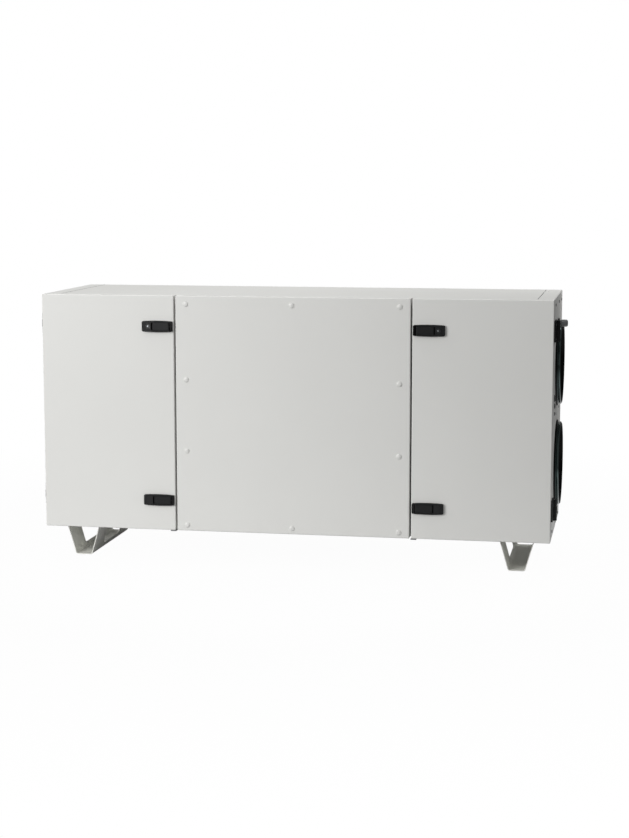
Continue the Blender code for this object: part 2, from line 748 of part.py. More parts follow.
def build_gland():
    """Cable gland on the right end wall: a hexagon nut, a neck and a domed cap with its bore."""
    cap = GLAND_CAP_DIAMETER / 2
    neck = GLAND_NECK_DIAMETER / 2
    dome_center = (cap - GLAND_DOME_RADIUS, GLAND_LENGTH - GLAND_DOME_RADIUS)
    profile = arc(dome_center, GLAND_DOME_RADIUS, 90, 0, 4)
    profile += [
        (cap, GLAND_CAP_START + GLAND_CAP_CHAMFER),
        (cap - GLAND_CAP_CHAMFER, GLAND_CAP_START),
        (neck, GLAND_CAP_START),
        (neck, GLAND_NUT_LENGTH / 2),
        (GLAND_BORE / 4, GLAND_NUT_LENGTH / 2),
        (GLAND_BORE / 4, GLAND_LENGTH),
    ]
    gland = turned_ring("cable_gland", profile, GLAND_STEPS, GREY_PLASTIC)
    place = Vector((CASING_RIGHT, CASING_FRONT + GLAND_FROM_FRONT, CASING_TOP - GLAND_FROM_TOP))
    turn = (0.0, math.radians(90), 0.0)
    gland.location = place
    gland.rotation_euler = turn
    nut_radius = GLAND_NUT_WIDTH / 2 / math.cos(math.radians(30))
    nut_middle = Vector(((GLAND_NUT_LENGTH + JOINT_GAP) / 2, 0.0, 0.0))
    nut_length = GLAND_NUT_LENGTH - JOINT_GAP
    nut = cylinder_cutter("gland_nut", nut_radius, nut_length, place + nut_middle, turn, 6)
    add_boolean(gland, nut, "UNION")
    bore_length = 2 * (GLAND_LENGTH + CUT_MARGIN)
    bore = cylinder_cutter("gland_bore", GLAND_BORE / 2, bore_length, place, turn, GLAND_STEPS)
    add_boolean(gland, bore, "DIFFERENCE")


def build_runner(side):
    """Folded sheet runner: a floor strip and two webs that lean out, notched into legs."""
    face, outward = SIDES[side]
    floor_outer = face - outward * RUNNER_FROM_END
    floor_inner = floor_outer - outward * RUNNER_FLOOR_WIDTH
    floor_x = (min(floor_outer, floor_inner), max(floor_outer, floor_inner))
    top = CASING_BOTTOM - JOINT_GAP - RUNNER_SHEET / 2
    bottom = RUNNER_SHEET / 2
    section = [
        (floor_x[0] - RUNNER_LEAN + RUNNER_FLANGE, top),
        (floor_x[0] - RUNNER_LEAN, top),
        (floor_x[0], bottom),
        (floor_x[1], bottom),
        (floor_x[1] + RUNNER_LEAN, top),
        (floor_x[1] + RUNNER_LEAN - RUNNER_FLANGE, top),
    ]
    middle = Vector(((floor_x[0] + floor_x[1]) / 2, RUNNER_MIDDLE_Y, 0.0))
    bm = bmesh.new()
    start = -RUNNER_LENGTH / 2
    verts = [bm.verts.new((x - middle.x, start, z)) for x, z in section]
    edges = [bm.edges.new(pair) for pair in zip(verts, verts[1:])]
    swept = bmesh.ops.extrude_edge_only(bm, edges=edges)
    moved = [item for item in swept["geom"] if isinstance(item, bmesh.types.BMVert)]
    bmesh.ops.translate(bm, verts=moved, vec=(0.0, RUNNER_LENGTH, 0.0))
    folds = [edge for edge in bm.edges if len(edge.link_faces) == 2]
    bmesh.ops.bevel(
        bm, geom=folds, offset=RUNNER_FOLD_RADIUS, segments=3, profile=0.5, affect="EDGES"
    )
    name = "foot_runner_" + side
    runner = add_object(name, mesh_from_bmesh(name, bm), RUNNER_PAINT)
    runner.location = middle
    sheet = runner.modifiers.new("sheet", "SOLIDIFY")
    sheet.thickness = RUNNER_SHEET
    sheet.offset = 0.0
    sheet.use_even_offset = True
    notch_length = RUNNER_LENGTH - 2 * RUNNER_LEG_LENGTH
    reach = RUNNER_FLOOR_WIDTH / 2 + RUNNER_LEAN + RUNNER_SHEET
    notch = box_between(
        "runner_notch_" + side,
        (middle.x - reach - CUT_MARGIN, middle.y - notch_length / 2, RUNNER_RAIL_HEIGHT),
        (middle.x + reach + CUT_MARGIN, middle.y + notch_length / 2, FOOT_HEIGHT + CUT_MARGIN),
        collection=CUTTERS,
        edge_radius=RUNNER_NOTCH_RADIUS,
    )
    add_boolean(runner, make_cutter(notch), "DIFFERENCE")


clear_scene()
UNIT = new_collection("air_handling_unit")
CUTTERS = new_collection("cutters")

PAINT = make_material("powder_coat_light_grey", (0.72, 0.73, 0.71), 0.45)
RUNNER_PAINT = make_material("powder_coat_runner", (0.66, 0.67, 0.65), 0.5)
LINER = make_material("galvanised_liner", (0.62, 0.64, 0.65), 0.4, 0.9)
MOULDED = make_material("moulded_black_polyamide", (0.02, 0.02, 0.022), 0.5)
COLLAR_PLASTIC = make_material("black_collar", (0.015, 0.016, 0.016), 0.35)
RUBBER = make_material("black_rubber", (0.012, 0.012, 0.012), 0.7)
DARK_STEEL = make_material("dark_steel", (0.09, 0.09, 0.095), 0.5, 0.6)
GREY_PLASTIC = make_material("grey_polyamide", (0.28, 0.29, 0.30), 0.5)
CARD = make_material("filter_cardboard", (0.80, 0.78, 0.72), 0.9)

build_long_panels()
build_back_panels()
build_center_panel()
build_gland()
for side_name, (side_face, side_outward) in SIDES.items():
    build_end_wall(side_name)
    build_bulkhead(side_name)
    build_divider(side_name)
    build_gasket(side_name)
    build_filter(side_name, FILTER_LEVELS[side_name])
    build_door_rest(side_name)
    build_runner(side_name)
    door_axis = bpy.data.objects.new("door_axis_" + side_name, None)
    UNIT.objects.link(door_axis)
    door_axis.location = (side_face + side_outward * HINGE_PIN_OFFSET, HINGE_AXIS_Y, CASING_BOTTOM)
    build_door(side_name, door_axis)
    for level_name in DUCT_HEIGHTS:
        duct_collar = build_collar(side_name, level_name)
        build_lip_seal(side_name, level_name, duct_collar)
        build_hinge_half(side_name, level_name, moving=False)
        build_hinge_half(side_name, level_name, moving=True, axis_empty=door_axis)
        build_latch(side_name, level_name, door_axis)
bpy.context.view_layer.update()
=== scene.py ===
import math

import bmesh
import bpy
from mathutils import Matrix, Vector


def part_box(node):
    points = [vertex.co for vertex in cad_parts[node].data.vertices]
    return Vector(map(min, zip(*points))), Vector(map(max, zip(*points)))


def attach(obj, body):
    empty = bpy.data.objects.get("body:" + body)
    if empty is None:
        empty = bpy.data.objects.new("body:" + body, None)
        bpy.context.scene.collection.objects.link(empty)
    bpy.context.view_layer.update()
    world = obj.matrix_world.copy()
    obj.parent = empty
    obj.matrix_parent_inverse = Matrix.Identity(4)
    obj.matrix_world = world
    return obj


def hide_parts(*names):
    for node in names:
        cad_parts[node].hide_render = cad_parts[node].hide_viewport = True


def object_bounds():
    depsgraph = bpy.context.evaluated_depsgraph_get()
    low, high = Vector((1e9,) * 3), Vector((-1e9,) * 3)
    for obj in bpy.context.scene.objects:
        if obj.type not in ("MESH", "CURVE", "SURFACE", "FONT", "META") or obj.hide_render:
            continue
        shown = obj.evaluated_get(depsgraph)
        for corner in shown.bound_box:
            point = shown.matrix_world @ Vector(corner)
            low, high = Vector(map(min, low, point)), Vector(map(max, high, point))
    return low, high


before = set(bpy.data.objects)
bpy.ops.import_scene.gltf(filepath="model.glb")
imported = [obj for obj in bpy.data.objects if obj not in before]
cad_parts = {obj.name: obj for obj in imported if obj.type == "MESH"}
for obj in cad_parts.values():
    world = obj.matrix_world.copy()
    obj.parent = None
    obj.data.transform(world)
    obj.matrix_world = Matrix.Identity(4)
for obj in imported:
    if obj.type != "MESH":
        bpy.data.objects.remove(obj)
solid_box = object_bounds()

# Camera
# A long lens about 7 m away, above the right-hand end, as the product was photographed. Its place
# is measured from the casing's lower front left corner.
# The sensor and the lens in millimetres, the tilt and the turn in degrees
LENS_SENSOR = 36.0
LENS_LENGTH = 77.586
LENS_REACH = 60.0
LENS_FROM_CORNER = (2.2363, -6.4911, 1.3342)
LENS_TILT_DOWN = 7.746
LENS_TURN_LEFT = 10.423

door_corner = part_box("door_left")[0]
panel_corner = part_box("center_panel")[0]
casing_corner = Vector((door_corner.x, panel_corner.y, panel_corner.z))
lens_data = bpy.data.cameras.new("long_lens")
lens_data.sensor_fit = "AUTO"
lens_data.sensor_width = LENS_SENSOR
lens_data.lens = LENS_LENGTH
lens_data.clip_end = LENS_REACH
camera = bpy.data.objects.new("photo_camera", lens_data)
camera.location = casing_corner + Vector(LENS_FROM_CORNER)
camera.rotation_euler = (math.radians(90.0 - LENS_TILT_DOWN), 0.0, math.radians(LENS_TURN_LEFT))
bpy.context.scene.collection.objects.link(camera)
bpy.context.scene.camera = camera

# Studio floor and light
# A white sweep that stays white to the camera and still takes the unit's soft shadow, a large soft
# box on the front left, one overhead, two small ones for the right end, and a pale sky.
SWEEP_REACH = 14.0
SHADOW_SHARE = 0.03
SHADOW_REACH = 3.0
BOUNCE_NEAR = 1.1
BOUNCE_FAR = 1.5
BOUNCE_PALE = 0.5
BOUNCE_DARK = 0.08
MIRROR_NEAR = 1.0
MIRROR_FAR = 0.05
MIRROR_REACH = 3.0
MIRROR_EDGE = (0.03, 0.12)
SKY_LEAN = (-0.8, -0.55, 0.1)
SKY_DARK = 0.05
SKY_PALE = 0.90
SKY_MIRRORED = 0.3


def add_node(tree, kind, settings=(), **links):
    """A node with its settings; each link names an input and gives a value or another node's socket."""
    node = tree.nodes.new(kind)
    for key, value in dict(settings).items():
        setattr(node, key, value)
    for key, value in links.items():
        socket = node.inputs[int(key[1:]) if key[1:].isdigit() else key.replace("_", " ")]
        if isinstance(value, bpy.types.NodeSocket):
            tree.links.new(value, socket)
        else:
            socket.default_value = value
    return node


def new_material(name):
    """A new material, with its node tree and its shader."""
    material = bpy.data.materials.new(name)
    material.use_nodes = True
    return material, material.node_tree, material.node_tree.nodes["Principled BSDF"]


def seen_rays(tree, mirror):
    """1 for what is seen straight or through glass, less in a reflection, 0 for the light on the object."""
    path = add_node(tree, "ShaderNodeLightPath")
    mirrored = add_node(tree, "ShaderNodeMath", {"operation": "MULTIPLY"},
                        i0=path.outputs["Is Glossy Ray"], i1=mirror)
    seen = add_node(tree, "ShaderNodeMath", {"operation": "MAXIMUM"},
                    i0=path.outputs["Is Camera Ray"], i1=mirrored.outputs[0])
    seen = add_node(tree, "ShaderNodeMath", {"operation": "MAXIMUM"},
                    i0=seen.outputs[0], i1=path.outputs["Is Transmission Ray"])
    return seen.outputs[0]


sweep_mesh = bpy.data.meshes.new("studio_sweep")
bm = bmesh.new()
bmesh.ops.create_grid(bm, x_segments=1, y_segments=1, size=SWEEP_REACH)
bm.to_mesh(sweep_mesh)
bm.free()
sweep = bpy.data.objects.new("studio_sweep", sweep_mesh)
bpy.context.scene.collection.objects.link(sweep)

sweep_material, tree, shader = new_material("matt_white_sweep")
shader.inputs["Roughness"].default_value = 0.9
shader.inputs["Specular IOR Level"].default_value = 0.1
place = add_node(tree, "ShaderNodeTexCoord").outputs["Object"]
away = add_node(tree, "ShaderNodeVectorMath", {"operation": "LENGTH"}, i0=place).outputs["Value"]
table = add_node(tree, "ShaderNodeMapRange", i0=away, From_Min=BOUNCE_NEAR, From_Max=BOUNCE_FAR,
                 To_Min=BOUNCE_PALE, To_Max=BOUNCE_DARK)
tree.links.new(table.outputs[0], shader.inputs["Base Color"])
whiteness = add_node(tree, "ShaderNodeMapRange", i0=away, From_Min=0.0, From_Max=SHADOW_REACH,
                     To_Min=1.0 - SHADOW_SHARE, To_Max=1.0)
mirror = add_node(tree, "ShaderNodeMapRange", i0=away, From_Min=BOUNCE_NEAR, From_Max=MIRROR_REACH,
                  To_Min=MIRROR_NEAR, To_Max=MIRROR_FAR)
# What gloss mirrors of the floor is dark under the unit and close beside it, where its shadow lies
sides_on = add_node(tree, "ShaderNodeVectorMath", {"operation": "ABSOLUTE"}, i0=place)
beside = add_node(tree, "ShaderNodeVectorMath", {"operation": "SUBTRACT"},
                  i0=sides_on.outputs[0], i1=(solid_box[1].x, solid_box[1].y, 0.0))
beside = add_node(tree, "ShaderNodeVectorMath", {"operation": "MAXIMUM"},
                  i0=beside.outputs[0], i1=(0.0, 0.0, 0.0))
beside = add_node(tree, "ShaderNodeVectorMath", {"operation": "LENGTH"}, i0=beside.outputs[0])
clear = add_node(tree, "ShaderNodeMapRange", i0=beside.outputs["Value"],
                 From_Min=MIRROR_EDGE[0], From_Max=MIRROR_EDGE[1])
mirror = add_node(tree, "ShaderNodeMath", {"operation": "MULTIPLY"},
                  i0=mirror.outputs[0], i1=clear.outputs[0])
share = add_node(tree, "ShaderNodeMath", {"operation": "MULTIPLY"},
                 i0=seen_rays(tree, mirror.outputs[0]), i1=whiteness.outputs[0])
white = add_node(tree, "ShaderNodeEmission", Color=(1.0, 1.0, 1.0, 1.0), Strength=1.0)
mixed = add_node(tree, "ShaderNodeMixShader", i0=share.outputs[0],
                 i1=shader.outputs[0], i2=white.outputs[0])
tree.links.new(mixed.outputs[0], tree.nodes["Material Output"].inputs["Surface"])
sweep_mesh.materials.append(sweep_material)

sky = bpy.data.worlds.new("pale_studio")
bpy.context.scene.world = sky
sky.use_nodes = True
tree = sky.node_tree
direction = add_node(tree, "ShaderNodeTexCoord").outputs["Generated"]
lean = add_node(tree, "ShaderNodeVectorMath", {"operation": "DOT_PRODUCT"}, i0=direction, i1=SKY_LEAN)
level = add_node(tree, "ShaderNodeMapRange", i0=lean.outputs["Value"], From_Min=-1.0, From_Max=1.0,
                 To_Min=SKY_DARK, To_Max=SKY_PALE)
glossy_ray = add_node(tree, "ShaderNodeLightPath").outputs["Is Glossy Ray"]
dimming = add_node(tree, "ShaderNodeMapRange", i0=glossy_ray, To_Min=1.0, To_Max=SKY_MIRRORED)
level = add_node(tree, "ShaderNodeMath", {"operation": "MULTIPLY"},
                 i0=level.outputs[0], i1=dimming.outputs[0])
ambient = add_node(tree, "ShaderNodeBackground", Color=(1.0, 1.0, 1.0, 1.0), Strength=level.outputs[0])
backdrop = add_node(tree, "ShaderNodeBackground", Color=(1.0, 1.0, 1.0, 1.0), Strength=1.0)
mixed = add_node(tree, "ShaderNodeMixShader", i0=seen_rays(tree, MIRROR_FAR),
                 i1=ambient.outputs[0], i2=backdrop.outputs[0])
tree.links.new(mixed.outputs[0], tree.nodes["World Output"].inputs["Surface"])


def soft_box(name, place, target, size, watts, mirrored=True):
    """A rectangular lamp that faces its target and that the camera doesn't see."""
    light = bpy.data.lights.new(name, "AREA")
    light.shape = "RECTANGLE"
    light.size = size[0]
    light.size_y = size[1]
    light.energy = watts
    lamp = bpy.data.objects.new(name, light)
    lamp.location = place
    lamp.rotation_euler = (Vector(target) - Vector(place)).to_track_quat("-Z", "Y").to_euler()
    lamp.visible_camera = False
    lamp.visible_glossy = mirrored
    bpy.context.scene.collection.objects.link(lamp)


soft_box("key_soft_box", (-2.2, -3.4, 1.5), (-0.3, 0.0, 0.65), (1.8, 1.8), 79.5)
soft_box("overhead_soft_box", (-0.46, 0.25, 3.3), (-0.3, 0.1, 1.0), (2.6, 1.4), 34.5)
soft_box("right_soft_box", (1.4, 1.05, 1.2), (0.9, 0.2, 0.8), (0.4, 0.9), 6.6, mirrored=False)
soft_box("low_right_soft_box", (1.3, 0.0, 0.06), (0.95, 0.05, 0.3), (0.1, 0.5), 0.36, mirrored=False)
bpy.context.scene.view_settings.view_transform = "Standard"

# Sheet-metal casing
# The walls, roof, base, doors and panels are trays folded from galvanised sheet and filled with
# mineral wool. They are powder coated outside, and their inner skins stay bare zinc.
SKIN_MARGIN = 0.0006
LAND_MARGIN = 0.0008
PAINT_DRIFT = 0.30
PEEL_SIZE = 0.0024
PEEL_DEPTH = 0.00025
SPANGLE_SIZE = 0.011

left_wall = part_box("end_wall_left")
right_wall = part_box("end_wall_right")
door_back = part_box("door_gasket_left")[0].y
hollow_low = Vector((left_wall[1].x, door_back + LAND_MARGIN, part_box("base_panel")[1].z))
hollow_high = Vector((right_wall[0].x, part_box("back_panel_left")[0].y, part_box("top_panel")[0].z))


def linear(hex_color):
    """A hex colour as a paint card gives it in sRGB, turned to the linear values of a shader."""
    values = [int(hex_color[i:i + 2], 16) / 255 for i in (1, 3, 5)]
    return [v / 12.92 if v <= 0.04045 else ((v + 0.055) / 1.055) ** 2.4 for v in values] + [1.0]


def inner_skin(tree, place):
    """1 on the skins that face the air stream: those on or inside the casing's hollow."""
    middle = (hollow_low + hollow_high) / 2
    half = (hollow_high - hollow_low) / 2 + Vector((SKIN_MARGIN, SKIN_MARGIN, SKIN_MARGIN))
    offset = add_node(tree, "ShaderNodeVectorMath", {"operation": "SUBTRACT"}, i0=place, i1=middle)
    apart = add_node(tree, "ShaderNodeVectorMath", {"operation": "ABSOLUTE"}, i0=offset.outputs[0])
    beyond = add_node(tree, "ShaderNodeVectorMath", {"operation": "SUBTRACT"}, i0=apart.outputs[0], i1=half)
    axes = add_node(tree, "ShaderNodeSeparateXYZ", i0=beyond.outputs[0])
    furthest = add_node(tree, "ShaderNodeMath", {"operation": "MAXIMUM"},
                        i0=axes.outputs[0], i1=axes.outputs[1])
    furthest = add_node(tree, "ShaderNodeMath", {"operation": "MAXIMUM"},
                        i0=furthest.outputs[0], i1=axes.outputs[2])
    inside = add_node(tree, "ShaderNodeMath", {"operation": "LESS_THAN"}, i0=furthest.outputs[0], i1=0.0)
    return inside.outputs[0]


def between(tree, share, low, high):
    """A number that goes from low to high as share goes from 0 to 1."""
    return add_node(tree, "ShaderNodeMapRange", i0=share, To_Min=low, To_Max=high).outputs[0]


def blend_colors(tree, share, first, second):
    """A colour that goes from the first to the second as share goes from 0 to 1."""
    mixer = tree.nodes.new("ShaderNodeMix")
    mixer.data_type = "RGBA"
    for socket, value in zip((mixer.inputs[0], mixer.inputs[6], mixer.inputs[7]), (share, first, second)):
        if isinstance(value, bpy.types.NodeSocket):
            tree.links.new(value, socket)
        else:
            socket.default_value = value
    return mixer.outputs[2]


# Polyester powder coat over galvanised sheet: a satin, very light warm grey whose orange peel is a
# couple of millimetres wide, so highlights on it are soft. The spangled zinc shows on inner skins.
powder, tree, shader = new_material("light_grey_powder_coat_on_zinc")
place = add_node(tree, "ShaderNodeTexCoord").outputs["Object"]
bare = inner_skin(tree, place)
drift = add_node(tree, "ShaderNodeTexNoise", Vector=place, Scale=1 / PAINT_DRIFT, Detail=3.0).outputs[0]
peel = add_node(tree, "ShaderNodeTexNoise", Vector=place, Scale=1 / PEEL_SIZE, Detail=2.0).outputs[0]
spangle = add_node(tree, "ShaderNodeTexVoronoi", Vector=place, Scale=1 / SPANGLE_SIZE, Randomness=1.0)
flake = add_node(tree, "ShaderNodeSeparateColor", i0=spangle.outputs["Color"]).outputs[0]
paint = blend_colors(tree, drift, linear("#dbdbd8"), linear("#dfdfdc"))
zinc = blend_colors(tree, flake, linear("#b4b8ba"), linear("#cdd1d3"))
tree.links.new(blend_colors(tree, bare, paint, zinc), shader.inputs["Base Color"])
satin = between(tree, drift, 0.47, 0.55)
dull = between(tree, flake, 0.34, 0.48)
rough = add_node(tree, "ShaderNodeMix", i0=bare, i2=satin, i3=dull)
tree.links.new(rough.outputs[0], shader.inputs["Roughness"])
tree.links.new(between(tree, bare, 0.0, 0.85), shader.inputs["Metallic"])
bump = add_node(tree, "ShaderNodeBump", Strength=0.25, Distance=PEEL_DEPTH, Height=peel)
tree.links.new(bump.outputs[0], shader.inputs["Normal"])
shader.inputs["Specular IOR Level"].default_value = 0.35


def dress(material, *starts):
    """The CAD nodes whose names start so take the material."""
    for name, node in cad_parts.items():
        if name.startswith(starts):
            node.data.materials.clear()
            node.data.materials.append(material)


dress(powder, "base_panel", "top_panel", "back_panel", "center_panel", "end_wall",
      "door_left", "door_right")

# Bulkheads and dividers
# Bare galvanised sheet boxes that part the end compartments from the closed centre section, and the
# supply air stream from the exhaust one. They are riveted in and never painted.
RIPPLE_SIZE = 0.025
RIPPLE_DEPTH = 0.0005

# Hot-dip galvanised sheet: a cool grey metal with large dull and bright spangles, faintly rippled.
liner, tree, shader = new_material("spangled_galvanised_sheet")
place = add_node(tree, "ShaderNodeTexCoord").outputs["Object"]
spangle = add_node(tree, "ShaderNodeTexVoronoi", Vector=place, Scale=1 / SPANGLE_SIZE, Randomness=1.0)
flake = add_node(tree, "ShaderNodeSeparateColor", i0=spangle.outputs["Color"]).outputs[0]
ripple = add_node(tree, "ShaderNodeTexNoise", Vector=place, Scale=1 / RIPPLE_SIZE, Detail=2.0).outputs[0]
tree.links.new(blend_colors(tree, flake, linear("#a9adaf"), linear("#c8ccce")), shader.inputs["Base Color"])
tree.links.new(between(tree, flake, 0.32, 0.5), shader.inputs["Roughness"])
shader.inputs["Metallic"].default_value = 0.85
bump = add_node(tree, "ShaderNodeBump", Strength=0.1, Distance=RIPPLE_DEPTH, Height=ripple)
tree.links.new(bump.outputs[0], shader.inputs["Normal"])
dress(liner, "bulkhead", "divider")

# Door gaskets
# Loops of soft sealing rubber round each service opening, extruded, cut to length and glued to the
# casing's front edges. The closed doors press on them.
GASKET_BLOOM = 0.02


def plain_finish(name, light, dark, roughness, patch, grain, relief, metallic=0.0, specular=0.5):
    """A finish of two close tones in patches, with a roughness that follows them and a fine grain.

    The roughness is a pair, and the patch, grain and relief are sizes in metres.
    """
    material, tree, shader = new_material(name)
    place = add_node(tree, "ShaderNodeTexCoord").outputs["Object"]
    patches = add_node(tree, "ShaderNodeTexNoise", Vector=place, Scale=1 / patch, Detail=3.0).outputs[0]
    grains = add_node(tree, "ShaderNodeTexNoise", Vector=place, Scale=1 / grain, Detail=2.0).outputs[0]
    tree.links.new(blend_colors(tree, patches, linear(light), linear(dark)), shader.inputs["Base Color"])
    tree.links.new(between(tree, patches, *roughness), shader.inputs["Roughness"])
    bump = add_node(tree, "ShaderNodeBump", Strength=0.5, Distance=relief, Height=grains)
    tree.links.new(bump.outputs[0], shader.inputs["Normal"])
    shader.inputs["Metallic"].default_value = metallic
    shader.inputs["Specular IOR Level"].default_value = specular
    return material


# Extruded EPDM rubber: nearly black, dull, with a faint grey bloom in patches.
rubber = plain_finish("extruded_sealing_rubber", "#1d1e1e", "#151616", (0.62, 0.8),
                      GASKET_BLOOM, 0.0008, 0.0001, specular=0.3)
dress(rubber, "door_gasket")

# Runners
# Two folded sheet feet, notched between their legs, welded at the corners and powder coated.
# Four flange bolts through the top flanges hold each one under the base.
BOLT_KEY_WIDTH = 0.013
BOLT_HEAD = 0.0055
BOLT_WASHER_RADIUS = 0.0085
BOLT_WASHER = 0.0014
BOLT_CORNER = 0.0008
RUNNER_SHEET = 0.003
RUNNER_FLANGE_MIDDLE = 0.0145
RUNNER_LEG_MIDDLE = 0.067

# Powder coat like the casing's, but flatter: a dull, very light warm grey. It is lighter than the
# casing's as painted light, which stands in for light in the shade under the casing.
runner_paint_with_painted_light = plain_finish("runner_powder_coat_and_painted_light", "#f1f1eb", "#e9e9e3", (0.5, 0.6),
                            0.12, PEEL_SIZE, PEEL_DEPTH / 4)
dress(runner_paint_with_painted_light, "foot_runner")

# Zinc-plated steel: a pale, slightly blue metal, dulled by handling.
plated_steel = plain_finish("zinc_plated_steel", "#a8abad", "#8d9092", (0.28, 0.42),
                            0.006, 0.0007, 0.00002, metallic=0.95)


def seat(place, outward):
    """The matrix that stands a piece built along +Z on a surface that faces outward."""
    return Matrix.Translation(place) @ Vector(outward).to_track_quat("Z", "Y").to_matrix().to_4x4()


def repeated(bm, places):
    """The shape in bm, copied to each of the places."""
    pattern = list(bm.verts) + list(bm.edges) + list(bm.faces)
    shape_verts = list(bm.verts)
    for matrix in places[1:]:
        copied = bmesh.ops.duplicate(bm, geom=pattern)["geom"]
        verts = [item for item in copied if isinstance(item, bmesh.types.BMVert)]
        bmesh.ops.transform(bm, matrix=matrix, verts=verts)
    bmesh.ops.transform(bm, matrix=places[0], verts=shape_verts)
    return bm


def add_piece(name, bm, material, body, sharp=35.0):
    """A finished piece that rides on its body, with its round stretches smooth."""
    bmesh.ops.remove_doubles(bm, verts=bm.verts, dist=0.00001)
    bmesh.ops.recalc_face_normals(bm, faces=bm.faces)
    mesh = bpy.data.meshes.new(name)
    bm.to_mesh(mesh)
    bm.free()
    mesh.materials.append(material)
    mesh.shade_smooth()
    mesh.set_sharp_from_angle(angle=math.radians(sharp))
    piece = bpy.data.objects.new(name, mesh)
    bpy.context.scene.collection.objects.link(piece)
    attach(piece, body)
    return piece


def flange_bolt():
    """A hexagon head with chamfered corners on its round flange, standing on Z = 0."""
    bm = bmesh.new()
    bmesh.ops.create_cone(bm, cap_ends=True, segments=24, radius1=BOLT_WASHER_RADIUS,
                          radius2=BOLT_WASHER_RADIUS - BOLT_CORNER, depth=BOLT_WASHER,
                          matrix=Matrix.Translation((0.0, 0.0, BOLT_WASHER / 2)))
    key_radius = BOLT_KEY_WIDTH / 2 / math.cos(math.radians(30))
    head = bmesh.ops.create_cone(bm, cap_ends=True, segments=6, radius1=key_radius, radius2=key_radius,
                                 depth=BOLT_HEAD,
                                 matrix=Matrix.Translation((0.0, 0.0, BOLT_WASHER + BOLT_HEAD / 2)))
    rim = [edge for edge in {edge for vert in head["verts"] for edge in vert.link_edges}
           if min(vert.co.z for vert in edge.verts) > BOLT_HEAD]
    bmesh.ops.bevel(bm, geom=rim, offset=BOLT_CORNER, segments=2, profile=0.5, affect="EDGES", material=-1)
    return bm


bolt_places = []
for side in ("left", "right"):
    low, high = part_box("foot_runner_" + side)
    for x in (low.x + RUNNER_FLANGE_MIDDLE, high.x - RUNNER_FLANGE_MIDDLE):
        for y in (low.y + RUNNER_LEG_MIDDLE, high.y - RUNNER_LEG_MIDDLE):
            bolt_places.append(seat((x, y, high.z - RUNNER_SHEET), (0.0, 0.0, -1.0)))
add_piece("runner_bolts", repeated(flange_bolt(), bolt_places), plated_steel, "casing")

# Roof joint beads
# A thin bead of grey sealant, pressed into the joint between the roof panel and the top of each end
# wall, and wiped nearly flush with the paint. Its mid grey is painted shade for the joint's shadow.
BEAD_WIDTH = 0.0015
BEAD_RISE = 0.0003
BEAD_SHORT = 0.0030

# Cured hybrid sealant: a dull mid grey, a little darker where dust sits in it. The mid grey is
# painted shade, darker than the paint beside it as the joint's shadow is.
sealant_and_painted_shade = plain_finish("joint_sealant_painted_shade", "#7d7f7e", "#717372", (0.6, 0.75),
                       0.02, 0.001, 0.00005, specular=0.3)
roof_low, roof_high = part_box("top_panel")
bead_length = roof_high.y - roof_low.y - 2 * BEAD_SHORT
bm = bmesh.new()
bmesh.ops.create_cone(bm, cap_ends=True, segments=12, radius1=BEAD_WIDTH / 2, radius2=BEAD_WIDTH / 2,
                      depth=bead_length)
bmesh.ops.rotate(bm, verts=bm.verts, cent=(0.0, 0.0, 0.0), matrix=Matrix.Rotation(math.radians(90), 3, "X"))
bmesh.ops.scale(bm, verts=bm.verts, vec=(1.0, 1.0, 2 * BEAD_RISE / BEAD_WIDTH))
bead_y = (roof_low.y + roof_high.y) / 2
bead_places = [Matrix.Translation((x, bead_y, roof_high.z)) for x in
               ((left_wall[1].x + roof_low.x) / 2, (roof_high.x + right_wall[0].x) / 2)]
add_piece("roof_joint_shade_beads", repeated(bm, bead_places), sealant_and_painted_shade, "casing")

# Door rests
# Flat steel tongues under the free ends of the doors, which carry them as they close. They are
# dip-painted, and their grey is a little brighter in patches, where the paint has worn.
dipped_steel = plain_finish("dip_painted_steel", "#7d7e80", "#6a6b6d", (0.4, 0.6),
                            0.02, 0.0012, 0.00005, metallic=0.3)
dress(dipped_steel, "door_rest")

# Screw caps on the centre panel
# Ten domed polythene caps pushed over the heads of the screws that hold the centre panel. They are
# moulded in the panel's own grey and are a little glossier than the powder coat.
CAP_RADIUS = 0.0100
CAP_RIM = 0.0009
CAP_RISE = 0.0032
CAP_ARC_STEPS = 7
CAP_STEPS = 40
CAP_FROM_SIDE = 0.0395
CAP_ROWS = (0.022, 0.304, 0.572, 0.854)

cap_plastic = plain_finish("light_grey_polythene", "#dfdfdc", "#d8d8d5", (0.32, 0.4),
                           0.012, 0.0009, 0.00002)


def turned(profile, steps, closed=False):
    """A shape turned about the Z axis from a profile of (radius, height) points."""
    bm = bmesh.new()
    verts = [bm.verts.new((radius, 0.0, height)) for radius, height in profile]
    pairs = list(zip(verts, verts[1:]))
    if closed:
        pairs.append((verts[-1], verts[0]))
    edges = [bm.edges.new(pair) for pair in pairs]
    bmesh.ops.spin(bm, geom=verts + edges, cent=(0.0, 0.0, 0.0), axis=(0.0, 0.0, 1.0),
                   angle=math.tau, steps=steps, use_merge=True)
    bmesh.ops.remove_doubles(bm, verts=bm.verts, dist=0.00001)
    return bm


cap_profile = [(0.0, 0.0), (CAP_RADIUS, 0.0)]
for step in range(CAP_ARC_STEPS + 1):
    angle = math.radians(90 * step / CAP_ARC_STEPS)
    cap_profile.append((CAP_RADIUS * math.cos(angle), CAP_RIM + CAP_RISE * math.sin(angle)))
panel_low, panel_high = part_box("center_panel")
cap_columns = (panel_low.x + CAP_FROM_SIDE, (panel_low.x + panel_high.x) / 2, panel_high.x - CAP_FROM_SIDE)
cap_places = []
for row in CAP_ROWS:
    columns = cap_columns if row in (CAP_ROWS[0], CAP_ROWS[-1]) else cap_columns[::2]
    for x in columns:
        cap_places.append(seat((x, panel_low.y, panel_low.z + row), (0.0, -1.0, 0.0)))
add_piece("panel_screw_caps", repeated(turned(cap_profile, CAP_STEPS), cap_places),
          cap_plastic, "casing")

